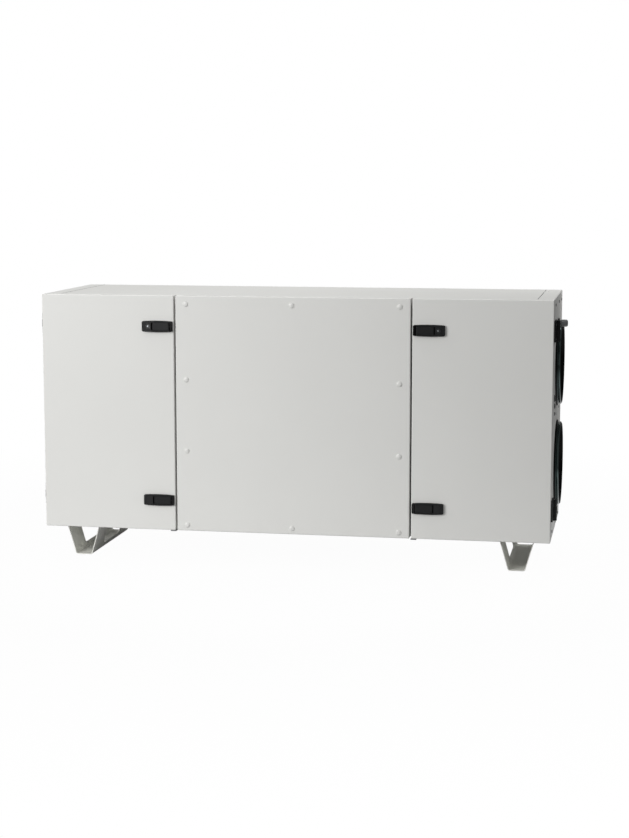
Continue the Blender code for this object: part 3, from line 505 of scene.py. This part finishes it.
# Casing screws
# Pan-head screws with a hexagon socket: blackened ones in the end walls' skins and the back panels,
# zinc-plated ones in the dividers, and two small ones on the roof under light grey plastic.
SCREW_RADIUS = 0.0055
SCREW_HEIGHT = 0.0022
SCREW_RIM = 0.0009
SCREW_SOCKET_WIDTH = 0.0045
SCREW_SOCKET_DEPTH = 0.0016
SCREW_SEGMENTS = 24
# The head's sloped rings: each one's width as a share of the radius, its rise as one of the flank
SCREW_SLOPES = ((0.08, 1.3), (0.24, 0.7))
# On each end wall: how far behind the front and how far above the bottom a screw sits
END_SCREWS = ((0.105, 0.861), (0.352, 0.857), (0.542, 0.853),
              (0.095, 0.027), (0.324, 0.022), (0.530, 0.018))
DIVIDER_SCREWS = ((0.236, 0.446), (0.445, 0.446))
BACK_SCREW_INSET = 0.020
BACK_SCREW_ROWS = 4
ROOF_SCREW_RADIUS = 0.0045
ROOF_SCREW_HEIGHT = 0.0014
ROOF_SCREW_SOCKET = 0.0030
ROOF_SCREW_INSET = 0.049
ROOF_SCREW_BACK = 0.504

# Blackened steel: a dark, oily grey with a soft shine.
blackened_steel = plain_finish("blackened_steel", "#626365", "#4b4c4e", (0.4, 0.52),
                               0.005, 0.0006, 0.00002, metallic=0.6)


def pan_head(radius, height, socket_width):
    """A low domed screw head with a hexagon socket, standing on Z = 0."""
    bm = bmesh.new()
    bmesh.ops.create_circle(bm, cap_ends=True, segments=SCREW_SEGMENTS, radius=radius)
    bm.faces.ensure_lookup_table()
    top = bm.faces[0]
    rim = min(SCREW_RIM, height / 2)
    raised = bmesh.ops.extrude_face_region(bm, geom=[top])["geom"]
    top = next(item for item in raised if isinstance(item, bmesh.types.BMFace))
    bmesh.ops.translate(bm, verts=top.verts, vec=(0.0, 0.0, rim))
    if top.normal.z < 0:
        bmesh.ops.reverse_faces(bm, faces=[top])
    flank = (height - rim) / 2
    socket_radius = socket_width / 2 / math.cos(math.radians(30))
    for width, rise in SCREW_SLOPES:
        bmesh.ops.inset_region(bm, faces=[top], thickness=radius * width, depth=flank * rise)
    edge_radius = top.verts[0].co.xy.length
    bmesh.ops.inset_region(bm, faces=[top], thickness=edge_radius - socket_radius)
    for vert in top.verts:
        turn = math.atan2(vert.co.y, vert.co.x) % math.radians(60) - math.radians(30)
        reach = socket_width / 2 / math.cos(turn)
        vert.co.xy = vert.co.xy.normalized() * reach
    sunk = bmesh.ops.extrude_face_region(bm, geom=[top])["geom"]
    floor = next(item for item in sunk if isinstance(item, bmesh.types.BMFace))
    bmesh.ops.translate(bm, verts=floor.verts, vec=(0.0, 0.0, -SCREW_SOCKET_DEPTH))
    bmesh.ops.delete(bm, geom=[top], context="FACES_ONLY")
    return bm


# Each side: its end wall's outer face and the direction that points outwards
sides = {"left": (left_wall[0].x, -1.0), "right": (right_wall[1].x, 1.0)}
front_y = panel_low.y
bottom_z = panel_low.z
top_z = panel_high.z
dark_screws = []
bright_screws = []
for face, outward in sides.values():
    for back, up in END_SCREWS:
        dark_screws.append(seat((face, front_y + back, bottom_z + up), (outward, 0.0, 0.0)))
    for back, up in DIVIDER_SCREWS:
        bright_screws.append(seat((face, front_y + back, bottom_z + up), (outward, 0.0, 0.0)))
for name in ("back_panel_left", "back_panel_center", "back_panel_right"):
    low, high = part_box(name)
    for x in (low.x + BACK_SCREW_INSET, high.x - BACK_SCREW_INSET):
        for row in range(BACK_SCREW_ROWS):
            span = high.z - low.z - 2 * BACK_SCREW_INSET
            z = low.z + BACK_SCREW_INSET + span * row / (BACK_SCREW_ROWS - 1)
            dark_screws.append(seat((x, high.y, z), (0.0, 1.0, 0.0)))
add_piece("casing_screws",
          repeated(pan_head(SCREW_RADIUS, SCREW_HEIGHT, SCREW_SOCKET_WIDTH), dark_screws),
          blackened_steel, "casing")
add_piece("divider_screws",
          repeated(pan_head(SCREW_RADIUS, SCREW_HEIGHT, SCREW_SOCKET_WIDTH), bright_screws),
          plated_steel, "casing")
roof_screws = [seat((face - outward * ROOF_SCREW_INSET, front_y + ROOF_SCREW_BACK, top_z), (0.0, 0.0, 1.0))
               for face, outward in sides.values()]
add_piece("roof_screws",
          repeated(pan_head(ROOF_SCREW_RADIUS, ROOF_SCREW_HEIGHT, ROOF_SCREW_SOCKET), roof_screws),
          cap_plastic, "casing")

# Cable entry plugs
# Three rubber blind grommets of falling size in the right end wall, pushed into holes that follow
# the curve of the upper duct.
PLUG_LIP = 0.0016
PLUG_DOME_SHARE = 0.40
PLUG_STEPS = 28
# Each plug: its radius, how far behind the front and how far above the bottom it sits
PLUGS = ((0.0140, 0.105, 0.519), (0.0105, 0.115, 0.490), (0.0065, 0.125, 0.460))
# The lip and the dome inside it, as shares of the radius and of the lip's or dome's height
PLUG_LIP_SHAPE = ((1.0, 0.5), (0.94, 1.0), (0.80, 1.0), (0.76, 1.4))
PLUG_DOME_SHAPE = ((0.70, 0.8), (0.62, 0.94), (0.45, 1.0))

# Soft moulded rubber, paler than the gaskets: a dull dark grey.
plug_rubber = plain_finish("moulded_blind_grommet", "#5a5c5c", "#4b4d4d", (0.55, 0.7),
                           0.008, 0.0007, 0.00005, specular=0.35)
plug_mesh = bmesh.new()
for radius, back, up in PLUGS:
    dome = radius * PLUG_DOME_SHARE
    profile = [(0.0, 0.0), (radius, 0.0)]
    profile += [(radius * wide, PLUG_LIP * tall) for wide, tall in PLUG_LIP_SHAPE]
    profile += [(radius * wide, dome * tall) for wide, tall in PLUG_DOME_SHAPE]
    profile.append((0.0, dome))
    plug = repeated(turned(profile, PLUG_STEPS),
                    [seat((right_wall[1].x, front_y + back, bottom_z + up), (1.0, 0.0, 0.0))])
    scratch = bpy.data.meshes.new("plug_shape")
    plug.to_mesh(scratch)
    plug.free()
    plug_mesh.from_mesh(scratch)
    bpy.data.meshes.remove(scratch)
add_piece("cable_entry_plugs", plug_mesh, plug_rubber, "casing")

# Cable gland
# A moulded polyamide gland on the right end wall: a hexagon foot, a threaded neck and a domed
# hexagon nut that squeezes a rubber ring round the cable. No cable is drawn through it.
GLAND_FOOT_WIDTH = 0.0240
GLAND_FOOT_LENGTH = 0.0060
GLAND_FOOT_CORNER = 0.0009
GLAND_NECK_RADIUS = 0.0100
GLAND_THREAD_PITCH = 0.0015
GLAND_THREAD_DEPTH = 0.0006
GLAND_NUT_START = 0.0200
GLAND_NUT_WIDTH = 0.0238
GLAND_NUT_CORNER = 0.0022
GLAND_NUT_DOME = 0.0068
GLAND_MOUTH_RADIUS = 0.0060
GLAND_MOUTH_DEPTH = 0.0100
GLAND_MOUTH_BAND = 0.0003
GLAND_BORE_RADIUS = 0.0045
GLAND_NECK_IN_FOOT = 0.0010
GLAND_NECK_IN_NUT = 0.0020
GLAND_END_BAND = 0.0001
GLAND_STEPS = 32
# The seal ring: how deep in the mouth its back, its outer edge and its inner edge and hollow lie,
# how far it keeps from the mouth's wall and how broad its front edge is
RING_BACK = 0.0085
RING_OUTER = 0.0022
RING_INNER = 0.0014
RING_HOLLOW = 0.0018
RING_PLAY = 0.0002
RING_EDGE = 0.0004

# Moulded light-fast polyamide: a flat mid grey with a soft satin shine on the nut's flats.
gland_plastic = plain_finish("moulded_grey_polyamide", "#86888a", "#787a7b", (0.34, 0.44),
                             0.010, 0.0006, 0.00002)
low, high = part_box("cable_gland")
gland_place = seat((low.x, (low.y + high.y) / 2, (low.z + high.z) / 2), (1.0, 0.0, 0.0))
gland_length = high.x - low.x

bm = bmesh.new()
foot_radius = GLAND_FOOT_WIDTH / 2 / math.cos(math.radians(30))
bmesh.ops.create_cone(bm, cap_ends=True, segments=6, radius1=foot_radius, radius2=foot_radius,
                      depth=GLAND_FOOT_LENGTH,
                      matrix=Matrix.Translation((0.0, 0.0, GLAND_FOOT_LENGTH / 2)))
bmesh.ops.bevel(bm, geom=bm.edges, offset=GLAND_FOOT_CORNER, segments=2, profile=0.5,
                affect="EDGES", material=-1)
add_piece("gland_foot", repeated(bm, [gland_place]), gland_plastic, "casing")

neck_start = GLAND_FOOT_LENGTH - GLAND_NECK_IN_FOOT
neck_end = GLAND_NUT_START + GLAND_NECK_IN_NUT
thread_profile = [(GLAND_BORE_RADIUS, neck_start), (GLAND_NECK_RADIUS, neck_start)]
height = GLAND_FOOT_LENGTH
while height < GLAND_NUT_START:
    thread_profile += [(GLAND_NECK_RADIUS, height),
                       (GLAND_NECK_RADIUS + GLAND_THREAD_DEPTH, height + GLAND_THREAD_PITCH / 2)]
    height += GLAND_THREAD_PITCH
thread_profile += [(GLAND_NECK_RADIUS, neck_end), (GLAND_BORE_RADIUS, neck_end)]
add_piece("gland_neck", repeated(turned(thread_profile, GLAND_STEPS, closed=True), [gland_place]),
          gland_plastic, "casing")

bm = bmesh.new()
nut_radius = GLAND_NUT_WIDTH / 2 / math.cos(math.radians(30))
nut_length = gland_length - GLAND_NUT_START
bmesh.ops.create_cone(bm, cap_ends=True, segments=6, radius1=nut_radius, radius2=nut_radius,
                      depth=nut_length,
                      matrix=Matrix.Translation((0.0, 0.0, GLAND_NUT_START + nut_length / 2)))
corners = [edge for edge in bm.edges if abs(edge.verts[0].co.z - edge.verts[1].co.z) > nut_length / 2]
bmesh.ops.bevel(bm, geom=corners, offset=GLAND_NUT_CORNER, segments=3, profile=0.5,
                affect="EDGES", material=-1)
end_band = gland_length - GLAND_END_BAND
mouth_rim = [edge for edge in bm.edges if min(vert.co.z for vert in edge.verts) > end_band]
bmesh.ops.bevel(bm, geom=mouth_rim, offset=GLAND_NUT_DOME, segments=6, profile=0.5,
                affect="EDGES", material=-1)
mouth = max(bm.faces, key=lambda item: item.calc_center_median().z)
bmesh.ops.inset_region(bm, faces=[mouth], thickness=GLAND_MOUTH_BAND)
for vert in mouth.verts:
    vert.co.xy = vert.co.xy.normalized() * GLAND_MOUTH_RADIUS
sunk = bmesh.ops.extrude_face_region(bm, geom=[mouth])["geom"]
floor = next(item for item in sunk if isinstance(item, bmesh.types.BMFace))
bmesh.ops.translate(bm, verts=floor.verts, vec=(0.0, 0.0, -GLAND_MOUTH_DEPTH))
bmesh.ops.delete(bm, geom=[mouth], context="FACES_ONLY")
nut = add_piece("gland_nut", repeated(bm, [gland_place]), gland_plastic, "casing")
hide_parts("cable_gland")

ring_profile = [
    (GLAND_BORE_RADIUS, gland_length - RING_BACK),
    (GLAND_MOUTH_RADIUS - RING_PLAY, gland_length - RING_BACK),
    (GLAND_MOUTH_RADIUS - RING_PLAY, gland_length - RING_OUTER),
    (GLAND_BORE_RADIUS + RING_EDGE, gland_length - RING_INNER),
    (GLAND_BORE_RADIUS, gland_length - RING_HOLLOW),
]
add_piece("gland_seal_ring", repeated(turned(ring_profile, GLAND_STEPS, closed=True), [gland_place]),
          rubber, "casing")

# Duct collars
# Injection-moulded spigots for round duct, four of them: a flange on the wall, a sleeve through it
# and a rounded mouth. They are deep black plastic with a satin skin.
COLLAR_STEPS = 112
COLLAR_SLEEVE_WALL = 0.003
COLLAR_SEAL_DEPTH = 0.0050
COLLAR_SHOULDER = 0.0022
COLLAR_SHOULDER_HIGH = 0.0052
COLLAR_FLANGE_LOW = 0.0003
COLLAR_FLANGE_HIGH = 0.0043
COLLAR_MOUTH_ROUND = 0.0012
COLLAR_FLANGE_ROUND = 0.0017
COLLAR_SHOULDER_ROUND = 0.0005
COLLAR_EDGE_ROUND = 0.0004
COLLAR_CORNER_ROUND = 0.0003
ROUND_STEPS = 3

# Black ABS out of a satin mould: a deep black with only a faint, soft sheen.
collar_plastic = plain_finish("satin_black_mould", "#090a0a", "#060707", (0.30, 0.40),
                              0.03, 0.004, 0.00004, specular=0.12)


def rounded(profile):
    """A closed profile of (radius, height, rounding) with each corner drawn as a short curve."""
    points = []
    count = len(profile)
    for index, (radius, height, rounding) in enumerate(profile):
        here = Vector((radius, height))
        if not rounding:
            points.append(here)
            continue
        start = here + (Vector(profile[index - 1][:2]) - here).normalized() * rounding
        end = here + (Vector(profile[(index + 1) % count][:2]) - here).normalized() * rounding
        for step in range(ROUND_STEPS + 1):
            share = step / ROUND_STEPS
            points.append(start.lerp(here, share).lerp(here.lerp(end, share), share))
    return points


for side, (face, outward) in sides.items():
    for level in ("upper", "lower"):
        low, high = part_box("duct_collar_" + side + "_" + level)
        middle = (low + high) / 2
        flange_radius = (high.y - low.y) / 2
        seal_low, seal_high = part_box("duct_seal_" + side + "_" + level)
        sleeve_radius = (seal_high.y - seal_low.y) / 2 - COLLAR_SEAL_DEPTH
        length = high.x - face if outward > 0 else face - low.x
        depth = high.x - low.x - length
        profile = [
            (sleeve_radius, length, COLLAR_MOUTH_ROUND),
            (sleeve_radius, COLLAR_SHOULDER_HIGH, COLLAR_CORNER_ROUND),
            (sleeve_radius + COLLAR_SHOULDER, COLLAR_SHOULDER_HIGH, COLLAR_SHOULDER_ROUND),
            (sleeve_radius + COLLAR_SHOULDER, COLLAR_FLANGE_HIGH, COLLAR_CORNER_ROUND),
            (flange_radius, COLLAR_FLANGE_HIGH, COLLAR_FLANGE_ROUND),
            (flange_radius, COLLAR_FLANGE_LOW, 0.0),
            (sleeve_radius, COLLAR_FLANGE_LOW, 0.0),
            (sleeve_radius, -depth, COLLAR_EDGE_ROUND),
            (sleeve_radius - COLLAR_SLEEVE_WALL, -depth, COLLAR_EDGE_ROUND),
            (sleeve_radius - COLLAR_SLEEVE_WALL, length, COLLAR_MOUTH_ROUND),
        ]
        place = seat((face, middle.y, middle.z), (outward, 0.0, 0.0))
        collar = add_piece("spigot_" + side + "_" + level,
                           repeated(turned(rounded(profile), COLLAR_STEPS, closed=True), [place]),
                           collar_plastic, "casing")
        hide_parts("duct_collar_" + side + "_" + level)

# Lip seals on the collars
# A ring of soft rubber clipped round each sleeve, with a broad lip at the mouth and a thin one behind
# it. Both lean back and seal inside the duct that is pushed over them.
SEAL_BAND = 0.0015
SEAL_LIFT = 0.0003
SEAL_ROOT_ROUND = 0.0003
SEAL_TIP_ROUND = 0.0005
SEAL_EDGE_ROUND = 0.0004
# Each lip: how far from the mouth it starts, how far it leans back, its tip's width and its root's
SEAL_LIPS = ((0.0007, 0.0012, 0.0056, 0.0060), (0.0078, 0.0028, 0.0012, 0.0024))

# Soft thermoplastic rubber, still oily from the mould: black, with a long, faintly green sheen
# along the lips.
lip_rubber = plain_finish("oily_black_lip_rubber", "#0b1110", "#070b0a", (0.11, 0.17),
                          0.03, 0.002, 0.00002, specular=1.0)
oil = lip_rubber.node_tree.nodes["Principled BSDF"]
oil.inputs["Coat Weight"].default_value = 1.0
oil.inputs["Coat Roughness"].default_value = 0.12
oil.inputs["Specular Tint"].default_value = (0.6, 1.0, 0.97, 1.0)
for side, (face, outward) in sides.items():
    for level in ("upper", "lower"):
        low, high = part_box("duct_seal_" + side + "_" + level)
        middle = (low + high) / 2
        lip_radius = (high.y - low.y) / 2
        band_radius = lip_radius - COLLAR_SEAL_DEPTH + SEAL_LIFT
        skin_radius = band_radius + SEAL_BAND
        top = high.x - face if outward > 0 else face - low.x
        bottom = top - (high.x - low.x)
        profile = [(skin_radius, top, SEAL_EDGE_ROUND)]
        for start, lean, tip, root in SEAL_LIPS:
            profile += [(skin_radius, top - start, SEAL_ROOT_ROUND),
                        (lip_radius, top - start - lean, SEAL_TIP_ROUND),
                        (lip_radius, top - start - lean - tip, SEAL_EDGE_ROUND),
                        (skin_radius, top - start - root, SEAL_EDGE_ROUND)]
        profile += [(skin_radius, bottom, SEAL_ROOT_ROUND), (band_radius, bottom, 0.0),
                    (band_radius, top, 0.0)]
        place = seat((face, middle.y, middle.z), (outward, 0.0, 0.0))
        seal = add_piece("lip_seal_" + side + "_" + level,
                         repeated(turned(rounded(profile), COLLAR_STEPS, closed=True), [place]),
                         lip_rubber, "casing")
        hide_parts("duct_seal_" + side + "_" + level)

# Filter cassettes
# Cardboard frames that slide in beside the bulkheads, with a pleated glass-fibre filter glued in
# each. The pleats stand upright, from the frame's lower rim to its upper one.
PLEAT_PITCH = 0.0115
PLEAT_DEPTH = 0.0068
PLEAT_PAPER = 0.0005
PLEAT_CLEARANCE = 0.0190
PLEAT_BACK = 0.0005

# Pressed grey board: warm off-white, dull, with flecks of recycled fibre.
board = plain_finish("pressed_filter_board", "#d8d4c6", "#c9c4b4", (0.85, 0.95),
                     0.02, 0.0012, 0.0001, specular=0.2)
# Glass-fibre paper: a soft white that scatters light, with a faint felt.
fibre_paper = plain_finish("pleated_glass_fibre_paper", "#eeeeea", "#e2e2dc", (0.9, 1.0),
                           0.01, 0.0008, 0.0002, specular=0.1)
dress(board, "filter_cassette")
for side, (face, outward) in sides.items():
    low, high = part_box("filter_cassette_" + side)
    rim_x = high.x if outward > 0 else low.x
    start = low.y + PLEAT_CLEARANCE
    end = high.y - PLEAT_CLEARANCE
    folds = 2 * round((end - start) / PLEAT_PITCH)
    bm = bmesh.new()
    verts = []
    for fold in range(folds + 1):
        x = rim_x - outward * (PLEAT_BACK + PLEAT_DEPTH * (fold % 2))
        verts.append(bm.verts.new((x, start + (end - start) * fold / folds, low.z + PLEAT_CLEARANCE)))
    edges = [bm.edges.new(pair) for pair in zip(verts, verts[1:])]
    swept = bmesh.ops.extrude_edge_only(bm, edges=edges)["geom"]
    raised = [item for item in swept if isinstance(item, bmesh.types.BMVert)]
    bmesh.ops.translate(bm, verts=raised, vec=(0.0, 0.0, high.z - low.z - 2 * PLEAT_CLEARANCE))
    bmesh.ops.recalc_face_normals(bm, faces=bm.faces)
    bmesh.ops.solidify(bm, geom=bm.faces, thickness=PLEAT_PAPER)
    add_piece("filter_pleats_" + side, bm, fibre_paper, "casing")

# Hinges
# Moulded black polyamide hinges: three knuckles on a steel pin, a leaf screwed to the end wall and
# a leaf screwed to the door's side. The pin's domed ends show above and below.
HINGE_PIN_RADIUS = 0.0032
HINGE_PIN_PROUD = 0.0010
HINGE_PIN_SUNK = 0.0020
HINGE_PIN_FROM_OUTSIDE = 0.0100
HINGE_PIN_STEPS = 20
# The pin's domed end, as shares of its radius and of how far it stands proud
HINGE_PIN_DOME = ((1.0, 0.4), (0.8, 0.8), (0.4, 1.0))
HINGE_SCREW_RADIUS = 0.0042
HINGE_SCREW_HEIGHT = 0.0016
HINGE_SCREW_SOCKET = 0.0030
HINGE_SCREW_FROM_PIN = 0.0300
HINGE_SCREW_SPREAD = 0.0250
HINGE_PIN_SETBACK = 0.060
HINGE_LEAF_FACE = 0.0058

# Glass-filled polyamide out of a spark-eroded mould: near black, with a fine dull grain.
moulded_black = plain_finish("spark_grained_black_polyamide", "#111213", "#0c0d0e", (0.42, 0.52),
                             0.02, 0.0007, 0.00006, specular=0.3)
dress(moulded_black, "hinge")
hinge_pins = []
for side, (face, outward) in sides.items():
    for level in ("upper", "lower"):
        low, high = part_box("hinge_fixed_" + side + "_" + level)
        for moving in (False, True):
            direction = -1.0 if moving else 1.0
            x = face + outward * HINGE_LEAF_FACE
            y = front_y + HINGE_PIN_SETBACK + direction * HINGE_SCREW_FROM_PIN
            places = [seat((x, y, (low.z + high.z) / 2 + spread), (outward, 0.0, 0.0))
                      for spread in (-HINGE_SCREW_SPREAD, HINGE_SCREW_SPREAD)]
            name = "hinge_screws_" + ("moving_" if moving else "fixed_") + side + "_" + level
            head = pan_head(HINGE_SCREW_RADIUS, HINGE_SCREW_HEIGHT, HINGE_SCREW_SOCKET)
            add_piece(name, repeated(head, places),
                      blackened_steel, side + "_door" if moving else "casing")
        outer = high.x if outward > 0 else low.x
        pin_x = outer - outward * HINGE_PIN_FROM_OUTSIDE
        for z, up in ((high.z, 1.0), (low.z, -1.0)):
            hinge_pins.append(seat((pin_x, front_y + HINGE_PIN_SETBACK, z), (0.0, 0.0, up)))
pin_profile = [(0.0, -HINGE_PIN_SUNK), (HINGE_PIN_RADIUS, -HINGE_PIN_SUNK)]
pin_profile += [(HINGE_PIN_RADIUS * wide, HINGE_PIN_PROUD * tall) for wide, tall in HINGE_PIN_DOME]
pin_profile.append((0.0, HINGE_PIN_PROUD))
add_piece("hinge_pin_ends", repeated(turned(pin_profile, HINGE_PIN_STEPS), hinge_pins),
          plated_steel, "casing")

# Latches
# Moulded black polyamide housings with a pull lever, spark grained but for the polished end over the
# lever's pivot, next to the seam, which is also painted darker as shade in the finger gap there. The
# upper two carry a key cylinder, the lower two a blank.
POLISHED_SHADE_END = 0.0122
POLISHED_ROUGHNESS = 0.13
PATCHES_PER_METRE = 60.0
GRAINS_PER_METRE = 1400.0
GRAIN_DEPTH = 0.00006
LOCK_FROM_SEAM_END = 0.0925
LOCK_RADIUS = 0.0093
LOCK_RIM = 0.0009
LOCK_RIM_ROUND = 0.0004
LOCK_LEDGE_ROUND = 0.0003
LOCK_FLOOR = 0.0002
# The bezel's dished face: its upper and its lower edge, as shares of the bezel's radius
LOCK_DISH = (0.84, 0.80)
LOCK_STEPS = 40
LOCK_CORE_RADIUS = 0.0036
LOCK_CORE_START = 0.0001
LOCK_CORE_RIM = 0.0011
LOCK_CORE_TOP = 0.0014
LOCK_CORE_STEPS = 32
BLANK_START = 0.0830
BLANK_END = 0.1045
BLANK_HEIGHT = 0.0290
BLANK_THICKNESS = 0.0006
BLANK_ROUND = 0.0090

# Glass-filled polyamide again, near black and dull with grain, but polished smooth over the pivot,
# where it is painted darker still as the finger gap's shade.
latch_black, tree, shader = new_material("black_polyamide_polished_and_painted_shade_end")
place = add_node(tree, "ShaderNodeTexCoord").outputs["Object"]
middle_x = (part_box("latch_housing_left_upper")[1].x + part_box("latch_housing_right_upper")[0].x) / 2
seam_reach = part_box("latch_housing_right_upper")[0].x - middle_x
across = add_node(tree, "ShaderNodeSeparateXYZ", i0=place).outputs[0]
off_middle = add_node(tree, "ShaderNodeMath", {"operation": "SUBTRACT"}, i0=across, i1=middle_x)
off_middle = add_node(tree, "ShaderNodeMath", {"operation": "ABSOLUTE"}, i0=off_middle.outputs[0])
# The end by the seam: smooth, and painted darker as the shade of the finger gap there
polished_and_shaded = add_node(tree, "ShaderNodeMath", {"operation": "LESS_THAN"},
                    i0=off_middle.outputs[0], i1=seam_reach + POLISHED_SHADE_END).outputs[0]
patches = add_node(tree, "ShaderNodeTexNoise", Vector=place, Scale=PATCHES_PER_METRE, Detail=3.0).outputs[0]
grains = add_node(tree, "ShaderNodeTexNoise", Vector=place, Scale=GRAINS_PER_METRE, Detail=2.0).outputs[0]
grained = blend_colors(tree, patches, linear("#131415"), linear("#0e0f10"))
tree.links.new(blend_colors(tree, polished_and_shaded, grained, linear("#040404")), shader.inputs["Base Color"])
dull = between(tree, patches, 0.42, 0.52)
rough = add_node(tree, "ShaderNodeMix", i0=polished_and_shaded, i2=dull, i3=POLISHED_ROUGHNESS)
tree.links.new(rough.outputs[0], shader.inputs["Roughness"])
shader.inputs["Specular IOR Level"].default_value = 0.25
relief = between(tree, polished_and_shaded, 0.5, 0.0)
bump = add_node(tree, "ShaderNodeBump", Strength=relief, Distance=GRAIN_DEPTH, Height=grains)
tree.links.new(bump.outputs[0], shader.inputs["Normal"])
dress(latch_black, "latch")

# Chromed zinc die casting: a cool grey metal, dulled by hair scratches from keys.
chrome = plain_finish("chromed_die_casting", "#8f9294", "#7f8284", (0.3, 0.4),
                      0.003, 0.0004, 0.00001, metallic=1.0)
# Polyamide out of a smooth mould: black, a little shinier and paler than the grained housing.
lock_black = plain_finish("glossy_black_polyamide", "#1c1d1e", "#161718", (0.25, 0.32),
                          0.01, 0.001, 0.00002)
for side, (face, outward) in sides.items():
    low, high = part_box("latch_housing_" + side + "_upper")
    seam_end = low.x if outward > 0 else high.x
    lock_x = seam_end + outward * LOCK_FROM_SEAM_END
    place = seat((lock_x, low.y, (low.z + high.z) / 2), (0.0, -1.0, 0.0))
    bezel = [(0.0, 0.0, 0.0), (LOCK_RADIUS, 0.0, 0.0), (LOCK_RADIUS, LOCK_RIM, LOCK_RIM_ROUND),
             (LOCK_RADIUS * LOCK_DISH[0], LOCK_RIM, LOCK_LEDGE_ROUND),
             (LOCK_RADIUS * LOCK_DISH[1], LOCK_FLOOR, 0.0), (0.0, LOCK_FLOOR, 0.0)]
    add_piece("lock_bezel_" + side, repeated(turned(rounded(bezel), LOCK_STEPS), [place]),
              lock_black, side + "_door")
    core = [(0.0, LOCK_CORE_START, 0.0), (LOCK_CORE_RADIUS, LOCK_CORE_START, 0.0),
            (LOCK_CORE_RADIUS, LOCK_CORE_RIM, LOCK_RIM_ROUND), (0.0, LOCK_CORE_TOP, 0.0)]
    add_piece("lock_core_" + side, repeated(turned(rounded(core), LOCK_CORE_STEPS), [place]),
              chrome, side + "_door")

    low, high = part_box("latch_housing_" + side + "_lower")
    seam_end = low.x if outward > 0 else high.x
    bm = bmesh.new()
    bmesh.ops.create_cube(bm, size=1.0)
    bmesh.ops.scale(bm, vec=(BLANK_END - BLANK_START, BLANK_THICKNESS, BLANK_HEIGHT), verts=bm.verts)
    outer_edges = [edge for edge in bm.edges
                   if abs(edge.verts[0].co.y - edge.verts[1].co.y) > BLANK_THICKNESS / 2
                   and edge.verts[0].co.x * outward > 0]
    bmesh.ops.bevel(bm, geom=outer_edges, offset=BLANK_ROUND, segments=8, profile=0.5,
                    affect="EDGES", material=-1)
    middle = seam_end + outward * (BLANK_START + BLANK_END) / 2
    bmesh.ops.translate(bm, verts=bm.verts, vec=(middle, low.y - BLANK_THICKNESS / 2, (low.z + high.z) / 2))
    add_piece("lock_blank_" + side, bm, moulded_black, side + "_door")
